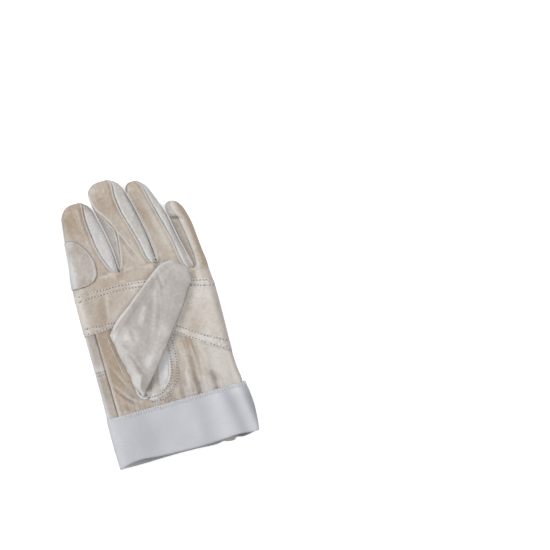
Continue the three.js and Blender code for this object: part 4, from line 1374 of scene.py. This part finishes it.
def saddle_share(v, row):
    """Share across the patch of a line that far inside its outer edge."""
    width = np.linalg.norm(saddle_plan(v, 0 * v + 1) - saddle_plan(v, 0 * v), axis=-1)
    return 1 - row / width


def saddle_point(v, u, depth):
    plan = saddle_plan(v, u)
    x, y = plan[..., 0], plan[..., 1]
    return np.stack([x, y, palm_height(x, y) - depth], -1)


def make_saddle():
    v, u = np.meshgrid(np.linspace(0, 1, 110), np.linspace(0, 1, 60), indexing="ij")
    x, y = saddle_plan(v, u).transpose(2, 0, 1)
    edge = edge_run(saddle_point(v, u, 0))[1]
    inside = smooth(edge, *SADDLE_RING)
    rim = smooth(v, 0.3, 0.45) * (1 - smooth(v, 0.68, 0.78))
    depth = rolled(edge, 0.4, 1.4) + sum(0.25 * peak(edge, row, 0.7) for row in SADDLE_ROWS)
    depth = depth - 0.12 * peak(edge, 4.1, 1.2) - 0.4 * rim * peak(edge, SADDLE_RIM, 0.55) + 0.35 * inside
    pucker = 0.3 * noise(95 * v, edge / 1.3, 52) * (1 - smooth(edge, 6.6, 8.5)) * smooth(edge, 0.2, 1)
    beige_edge = -7.5 + 2.9 * smooth(y, 60, 76)
    beige = np.maximum(smooth(beige_edge - x, -0.6, 1.2), smooth(-y, -58, -54))
    tint = 0.7 + 0.3 * smooth(v, 0.35, 0.5) * (1 - smooth(v, 0.6, 0.72)) * (1 - smooth(edge, 6.6, 7.6))
    # Paler at the top, where the thumb's shadow falls: painted light.
    tint = tint - 0.75 * smooth(v, 0.9, 0.97) - 0.3 * (1 - smooth(v, 0.1, 0.35)) + marks(x, y, SADDLE_SPOTS)
    tint = tint + (0.75 * beige - 0.7) * inside - 0.4 * rim * peak(edge, SADDLE_RIM, 0.7)
    tint = tint + 0.3 * layered(x / 3.2, y / 3.2, 51) + blotch(x, y, 53)
    # Darker at the outer edge and past the rim, and painted shadow under the thumb's near edge.
    dirt_and_shade = 0.14 * peak(edge, 0, 0.6) + 0.32 * rim * peak(edge, 9.6, 0.5) + marks(x, y, SADDLE_THUMB_SHADOW)
    # Lighter near the top, where the thumb's shadow falls: painted light.
    dirt_and_shade = dirt_and_shade - 0.5 * (1 - smooth(v, 0.15, 0.45)) * peak(edge, 3, 3)
    outer, inner = saddle_point(v, u, depth + pucker - SADDLE_LIFT), saddle_point(v, u, -PATCH_GAP)
    saddle = shell("saddle_patch_leather", outer, inner, PALE, tint, dirt_and_shade, wear_and_shade=0.5)
    finish_piece(saddle, ["saddle_patch"])


# Elastic cuff
def cuff_shade(x):
    # Painted shade across the cuff's front: lighter at its left end, dark at its right rim, and soft hollows.
    dark = 0.06 - 0.16 * smooth(-x, 50, 60) + 0.7 * smooth(x, 57, 64)
    return dark + sum(depth * peak(x, middle, width) for middle, width, depth in CUFF_HOLLOW_SHADES)


def cuff_point(y, angle, depth):
    left, right = curve(y, CUFF_LEFT) + depth, curve(y, CUFF_RIGHT) - depth
    head, foot = CUFF_TOP_Z + CUFF_TOP_RISE * y / CUFF_LENGTH - depth, CUFF_FOOT_Z + depth
    out, rise = (signed_power(v, 2 / CUFF_SQUARE) for v in (np.cos(angle), np.sin(angle)))
    x = (left + right) / 2 + (right - left) / 2 * out
    z = (head + foot) / 2 + (head - foot) / 2 * rise
    front = np.maximum(rise, 0)
    wavy = 0.1 * gathers(x, CUFF_LENGTH + 0 * x) * smooth(y, 34, 43) + 0.5 * layered(x / 24, y / 60, 57)
    drop = curve(x, CUFF_BACK) + (curve(x, CUFF_FRONT) - curve(x, CUFF_BACK)) * front**0.5
    return np.stack([x, y + (1 - y / CUFF_LENGTH) ** 2 * drop, z + wavy * front], -1)


CUFF_ANGLES = np.linspace(0, 2 * math.pi, 4001)
CUFF_RUN = lengths(cuff_point(np.full(len(CUFF_ANGLES), CUFF_LENGTH / 2), CUFF_ANGLES, 0))
CUFF_ROUND = CUFF_RUN[-1]


def cuff_angle(run):
    """The angle at that distance round the cuff."""
    return np.interp(run, CUFF_RUN, CUFF_ANGLES)


def make_cuff():
    edge_rows = np.array([0, 0.25, 0.7, 1.4])
    middle_rows = np.linspace(2.2, CUFF_LENGTH - 2.2, 44)
    y = np.concatenate([edge_rows, middle_rows, CUFF_LENGTH - edge_rows[::-1]])[:, None]
    run = np.linspace(0, CUFF_ROUND, CUFF_COLUMNS + 1)[:-1]
    angle = cuff_angle(run)[None]
    roll = rolled(np.minimum(y, CUFF_LENGTH - y), 0.5, 0.8)
    outer = cuff_point(y, angle, roll + 0.22 * peak(y, CUFF_SEAM_Y, 1.0))
    inner = cuff_point(y, angle, ELASTIC - roll)
    x = outer[..., 0]
    # Painted shade across the cuff and in the listed hollow.
    dirt_and_shade = 0.05 + cuff_shade(x + 0.15 * (y - 20) * smooth(x, 30, 45)) + marks(x, y, CUFF_SHADE_SPOTS)
    # Darker along the lower edge; paler at the upper right as painted light.
    dirt_and_shade = dirt_and_shade + 0.16 * fade(y, 0, 1.0) - 0.2 * smooth(y, 28, 40) * smooth(x, 40, 50)
    dirt_and_shade = dirt_and_shade + 0.09 * layered(x / 26, outer[..., 1] / 30, 99)
    # Painted shade inside the opening, on the back layer near the foot.
    foot = (0.15 + 0.3 * smooth(x, 15, 30) + 0.3 * smooth(x, 38, 46)) * smooth(y, 0.2, 1) * fade(y, 0, 6)
    dirt_and_shade = dirt_and_shade + foot * (np.sin(angle) < 0)
    cuff = shell("elastic_cuff_knit", outer, inner, CUFF, 0.0, dirt_and_shade, ring=True, wear_and_shade=0.3)
    set_rest(cuff, np.stack(np.broadcast_arrays(run, y, 0.0), -1))
    finish_piece(cuff, ["elastic_cuff"])


# Wrist strap and its touch tape, under the cuff
def strap_place(along, across, z):
    c, s = math.cos(STRAP_TURN), math.sin(STRAP_TURN)
    x = STRAP_FOLD[0] + along * c - across * s
    y = STRAP_FOLD[1] + along * s + across * c
    return np.stack(np.broadcast_arrays(x, y, z), -1)


def strap_half(along):
    """Half width of the strap, rounded at its two ends."""
    share = np.clip(np.minimum(along - STRAP_LOW, STRAP_HIGH - along) / STRAP_ROUND, 0, 1)
    return STRAP_HALF - STRAP_ROUND + STRAP_ROUND * np.sqrt(np.clip(1 - (1 - share) ** 2, 0, 1))


def make_strap():
    end_rows = STRAP_ROUND * (1 - np.cos(np.linspace(0, math.pi / 2, 8)))[:-1]
    straight = np.linspace(STRAP_LOW + STRAP_ROUND, STRAP_HIGH - STRAP_ROUND, 90)
    along = np.concatenate([STRAP_LOW + end_rows, straight, STRAP_HIGH - end_rows[::-1]])[:, None]
    across = np.linspace(-1, 1, 25)[None] * strap_half(along)
    edge = np.minimum(np.minimum(strap_half(along) - np.abs(across), along - STRAP_LOW), STRAP_HIGH - along)
    tab = TAB_OUT * np.exp(-(((along - TAB_MIDDLE) / TAB_HALF) ** 4)) * smooth(-across, *TAB_FROM)
    base = (STRAP_TOP - LEATHER) * (1 - smooth(along, 0, 10))
    roll = rolled(edge, 0.35, 0.6)
    uneven = 0.1 + 0.01 * layered(along / 14, across / 9, 63) + 0.2 * peak(edge, STRAP_ROW, 0.5)
    lower_face = strap_place(along, across - tab, base + roll + uneven)
    upper_face = strap_place(along, across - tab, base + LEATHER - roll)
    tint = 0.45 + blotch(lower_face[..., 0], lower_face[..., 1], 67)
    dirt_and_shade = 0.3 * peak(edge, 0, 0.6) + 0.1 * peak(edge, STRAP_ROW, 0.6)
    strap = shell("wrist_strap_leather", lower_face, upper_face, TAN, tint, dirt_and_shade)
    start, end = (tuple(strap_place(place, 0.0, STRAP_TOP - LEATHER)) for place in STRAP_BLEND)
    finish_piece(strap, ["strap_flap", "strap_root"], across=("hand", "strap", start, end))


def make_tape(name, node, body, start, length, low, high, seed):
    along = np.linspace(start, start + length, 60)[:, None]
    across = np.linspace(-TAPE_HALF, TAPE_HALF, 26)[None]
    edge = np.minimum(np.minimum(along - start, start + length - along), TAPE_HALF - np.abs(across))
    nap = TAPE_NAP * noise(along * 1.4, across * 1.4, seed)
    upper_face = strap_place(along, across, high - TAPE_NAP + nap - rolled(edge, 0.25, 0.8))
    tape = shell(name, upper_face, strap_place(along, across, low), TAPE)
    finish_piece(tape, [node], body)


# Thumb
def thumb_tint(x, y):
    tint = 0.93 - 0.25 * smooth(y, 140, 156) + marks(x, y, THUMB_SPOTS, THUMB_LINES)
    return tint + 0.9 * blotch(x, y, 79)


def thumb_rows():
    """Shares from the flange under the fold to the tip."""
    turn = [np.linspace(FLANGE, FOLD_TURN[0], 7)[:-1], np.linspace(FOLD_TURN[0], 0.02, 13)[:-1]]
    tip = 0.9 + 0.1 * np.sin(np.linspace(0, math.pi / 2, 14)[1:])
    return np.concatenate([*turn, np.linspace(0.02, 0.9, 84), tip])


def make_thumb_panel(name, node, low, high, columns):
    s, t = np.meshgrid(thumb_rows(), thumb_columns(low, high, columns), indexing="ij")
    outer, inner = thumb_point(s, t, 0.0), thumb_point(s, t, LEATHER)
    tip = smooth(s, 0.75, 0.9)
    # A dark seam line, and painted shade along the near edge.
    dirt_and_shade = 0.12 * peak(t, THUMB_SEAM, 0.03) + (0.4 + 0.2 * tip) * fade(1 - t, 0, 0.012 + 0.02 * tip)
    # Paler along the rounded fold as painted highlight, and along the far edge as the pale seam edge with
    # painted highlight.
    corner = smooth(t, 0.6, 0.8)
    pale = (0.7 + 0.9 * smooth(t, 0.2, 0.6)) * peak(s, 0.03 * (1 - corner), 0.07 - 0.045 * corner)
    pale = pale + 0.9 * peak(t, -0.96, 0.05) * smooth(s, 0.05, 0.12)
    panel = shell(name, outer, inner, GREY, thumb_tint(outer[..., 0], outer[..., 1]) - pale, dirt_and_shade, wear_and_shade=0.45)
    way = np.array([*THUMBWARD, 2.0]) / math.sqrt(5)
    start, end = (tuple(np.array([*FOLD_MIDDLE, FOLD_Z]) + run * way) for run in THUMB_BLEND)
    finish_piece(panel, [node], across=("hand", "thumb", start, end))


def make_sole():
    """The thumb's lower panel, round the hole."""
    tip = 0.9 + 0.095 * np.sin(np.linspace(0, math.pi / 2, 10)[1:])
    rows = np.concatenate([np.linspace(0.025, 0.9, 76), tip])
    s, t = np.meshgrid(rows, np.linspace(-0.955, 0.955, 60), indexing="ij")
    plan = thumb_plan(s, t)[0]
    keep, x, y = cut_hole(plan[..., 0], plan[..., 1])
    z = thumb_bed(x, y) + SOLE_LIFT
    lower_face, upper_face = np.stack([x, y, z], -1), np.stack([x, y, z + LEATHER], -1)
    sole = shell("thumb_sole_leather", lower_face, upper_face, GREY, 0.6 + blotch(x, y, 83), keep=keep)
    finish_piece(sole, ["thumb_front"], "thumb")


def make_web():
    """Tucked leather from the hole's edge to the thumb's lower panel."""
    phi = np.linspace(0, 2 * math.pi, 181)[None, :-1]
    rise = np.linspace(0, 1, 33)[:, None]
    p, q = signed_power(np.cos(phi), 0.5), signed_power(np.sin(phi), 0.5)
    tuck = WEB_TUCK * (1 - np.abs(2 * rise - 1) ** 1.7)
    x, y = hole_place(p * (1 - 0.2 * tuck), -1 + (q + 1) * (1 - tuck))
    palm = palm_height(x, y)
    face = np.stack([x, y, palm - 0.6 + (SOLE_LIFT + 1.2) * rise], -1)
    inward = unit(np.cross(np.gradient(face, axis=0), np.gradient(face, axis=1)))
    tint = 0.6 + blotch(x, y + 16 * rise, 97)
    web = shell("thumb_web_leather", face, face + WEB_LEATHER * inward, GREY, tint, ring=True)
    set_rest(web, np.stack([x, y, 40 * rise + 0 * x], -1))
    low, high = palm[0].max() - 0.5, palm[-1].min() + SOLE_LIFT + 0.5
    finish_piece(web, across=("hand", "thumb", (*FOLD_MIDDLE, low), (*FOLD_MIDDLE, high)))


# Stitches
def sew_band():
    ends = (hand_share(x, BAND_MIDDLE_Y) for x in (-BAND_SEWN_X, BAND_SEWN_X))
    t = hand_columns(400, *ends)
    top, foot = band_edges(t)
    rows = []
    for edge, way, far in ((top, -1, TOP_ROW_FAR), (foot, 1, FOOT_ROW_FAR)):
        for offset in (ROW_NEAR, curve(HALF_HAND * t, far)):
            rows.append(palm_point(t, edge + way * offset, -BAND_LIFT + 0.3))
    stitches = thread("palm_band_thread", rows, THREAD, pitch=2.8, length=1.6)
    finish_piece(stitches)


def sew_saddle():
    v = np.linspace(0, 1, 400)
    rows = [saddle_point(v, saddle_share(v, row), -SADDLE_LIFT + 0.22) for row in SADDLE_ROWS]
    finish_piece(thread("saddle_thread", rows, THREAD))


def sew_patch():
    y = np.linspace(PATCH_SPAN[0] + 1, PATCH_SPAN[1] - 0.8, 300)
    row = stall_point(0, y, seam_angle(0, y, curve(y, PATCH_EDGE) - PATCH_ROW), -BAND_LIFT + 0.1)
    stitches = thread("index_patch_thread", [row], THREAD, **FINE_STITCH)
    finish_piece(stitches, across=flex(0))


def sew_gusset():
    x = np.linspace(GUSSET_EDGE_X, GUSSET_X + 0.2, 40)
    rows = [on_palm(np.column_stack([x, 0 * x + y]), 0.0) for y in GUSSET_ROWS]
    finish_piece(thread("gusset_thread", rows, THREAD, **FINE_STITCH))


def sew_tack():
    """The gathered end of the seam between the middle and the ring finger."""
    turn = np.linspace(0, 2 * math.pi, 9)
    ring = TACK_PLACE + TACK_RADIUS * np.column_stack([np.cos(turn), np.sin(turn)])
    tack = thread("crotch_tack_thread", [on_palm(ring, TACK_LIFT)], THREAD, pitch=1.5, length=1.5, holes=0.05)
    finish_piece(tack)


def sew_cuff():
    """Ticks over the cuff's upper edge, under the leather at the thumb's side."""
    count = int(CUFF_ROUND / TICK_PITCH)
    angles = cuff_angle(np.linspace(0, CUFF_ROUND, count)[:-1])
    depths = -0.15 + 0.65 * smooth(-cuff_point(0 * angles + 41, angles, 0)[:, 0], 40, 52)
    ticks = [cuff_point(TICK_SPAN, np.full(2, angle), depth) for angle, depth in zip(angles, depths)]
    ticks = thread("cuff_thread", ticks, CUFF_THREAD, pitch=4.6, length=4.4, radius=0.5, sink=0.12, holes=0.2)
    finish_piece(ticks)


# Round strips beside the thumb
def make_welt():
    y = np.linspace(WELT[0][0], WELT[0][-1], 120)
    x = curve(y, WELT) + 0.25 * noise(y / 5, 0 * y, 87)
    radius = WELT_RADIUS + 0.2 * noise(y / 4, 0 * y + 3, 89)
    welt = tube("thumb_welt_leather", on_palm(np.column_stack([x, y]), 0.25), radius, WARM, 0.3)
    finish_piece(welt)


def make_crumples():
    s = np.linspace(0, 1, 40)
    for n, (corners, radius, tint) in enumerate(CRUMPLES):
        path = on_palm(plan_curve(s, CRUMPLE_S, corners), 0.2 * radius)
        bulge = radius * (0.55 + 0.45 * np.sin(math.pi * s)) * (1 + 0.2 * noise(s * 6, 0 * s + n, 93))
        finish_piece(tube(f"thumb_corner_fold_{n + 1}", path, bulge, PALE, tint))


# Camera, floor, light and background, in metres
def make_camera():
    """Over the palm, at the photograph's angle and frame."""
    camera = bpy.data.objects.new("camera", bpy.data.cameras.new("camera"))
    camera.data.sensor_width = 36
    camera.data.lens = 105.6
    camera.data.clip_end = 20
    camera.location = (0.1124, 0.0204, 1.4)
    camera.rotation_euler = (0, 0, math.radians(-15.85))
    bpy.context.collection.objects.link(camera)
    bpy.context.scene.camera = camera


def background_rays(tree):
    """1 for rays that show the background, directly or in a shine, and 0 for those that light the glove."""
    path = link(tree, "ShaderNodeLightPath").outputs
    seen = maths(tree, "MAXIMUM", path["Is Camera Ray"], path["Is Glossy Ray"])
    return maths(tree, "MAXIMUM", seen, path["Is Transmission Ray"])


def make_floor(half=1.3, z=-0.0002):
    mesh = bpy.data.meshes.new("floor")
    corners = [(half * x, half * y, z) for x, y in ((-1, -1), (1, -1), (1, 1), (-1, 1))]
    mesh.from_pydata(corners, [], [(0, 1, 2, 3)])
    material, tree = new_material("floor")
    matt = link(tree, "ShaderNodeBsdfDiffuse", {"Color": (0.82, 0.82, 0.82, 1)}).outputs[0]
    place = link(tree, "ShaderNodeNewGeometry").outputs["Position"]
    away = link(tree, "ShaderNodeVectorMath", {0: place}, operation="LENGTH").outputs["Value"]
    lift = map_range(tree, away, (0.3, 0.9), (0.58, 1.0))
    glow = link(tree, "ShaderNodeEmission", {"Color": (1, 1, 1, 1), "Strength": lift}).outputs[0]
    both = link(tree, "ShaderNodeAddShader", {0: matt, 1: glow}).outputs[0]
    mixed = link(tree, "ShaderNodeMixShader", {0: background_rays(tree), 1: matt, 2: both})
    link(tree, "ShaderNodeOutputMaterial", {0: mixed.outputs[0]})
    mesh.materials.append(material)
    plane = bpy.data.objects.new("floor", mesh)
    bpy.context.collection.objects.link(plane)


def make_lamp(name, place, size, power):
    data = bpy.data.lights.new(name, "AREA")
    data.shape = "DISK"
    data.size = size
    data.energy = power
    lamp = bpy.data.objects.new(name, data)
    lamp.location = place
    lamp.rotation_euler = (-Vector(place)).to_track_quat("-Z", "Y").to_euler()
    bpy.context.collection.objects.link(lamp)


def make_world():
    world = bpy.data.worlds.new("studio")
    bpy.context.scene.world = world
    world.use_nodes = True
    tree = world.node_tree
    tree.nodes.clear()
    level = map_range(tree, background_rays(tree), (0.0, 1.0), (0.3, 1.0))
    sky = link(tree, "ShaderNodeBackground", {"Color": (1, 1, 1, 1), "Strength": level})
    link(tree, "ShaderNodeOutputWorld", {0: sky.outputs[0]})


# The glove, piece by piece
for k, stall in enumerate(STALLS):
    make_front(k)
    make_back(k)
    for side in ("thumb_side", "far_side"):
        if f"{stall['name']}_{side}" in WALLS:
            make_wall(k, side)
make_index_patch()
make_band()
make_upper_palm()
make_lower_palm()
make_gusset()
make_hand_back()
make_saddle()
make_cuff()
make_strap()
make_tape("hook_tape_fibre", "hook_tape", "strap", start=48, length=34, low=1.28, high=2.35, seed=69)
make_tape("loop_tape_fibre", "loop_tape", "hand", start=40, length=46, low=2.72, high=3.75, seed=73)
make_thumb_panel("thumb_top_leather", "thumb_back", THUMB_SEAM + 0.001, 1.0, 64)
make_thumb_panel("thumb_side_leather", "thumb_side", -1.0, THUMB_SEAM - 0.001, 22)
make_sole()
make_web()
sew_band()
sew_saddle()
sew_patch()
sew_gusset()
sew_tack()
make_welt()
make_crumples()
sew_cuff()

# The picture
make_camera()
make_floor()
make_lamp("key_lamp", (-0.7, 0.75, 1.15), size=0.8, power=12.5)
make_lamp("fill_lamp", (0.9, -0.1, 1.2), size=1.2, power=11)
make_world()
bpy.context.scene.view_settings.view_transform = "Standard"
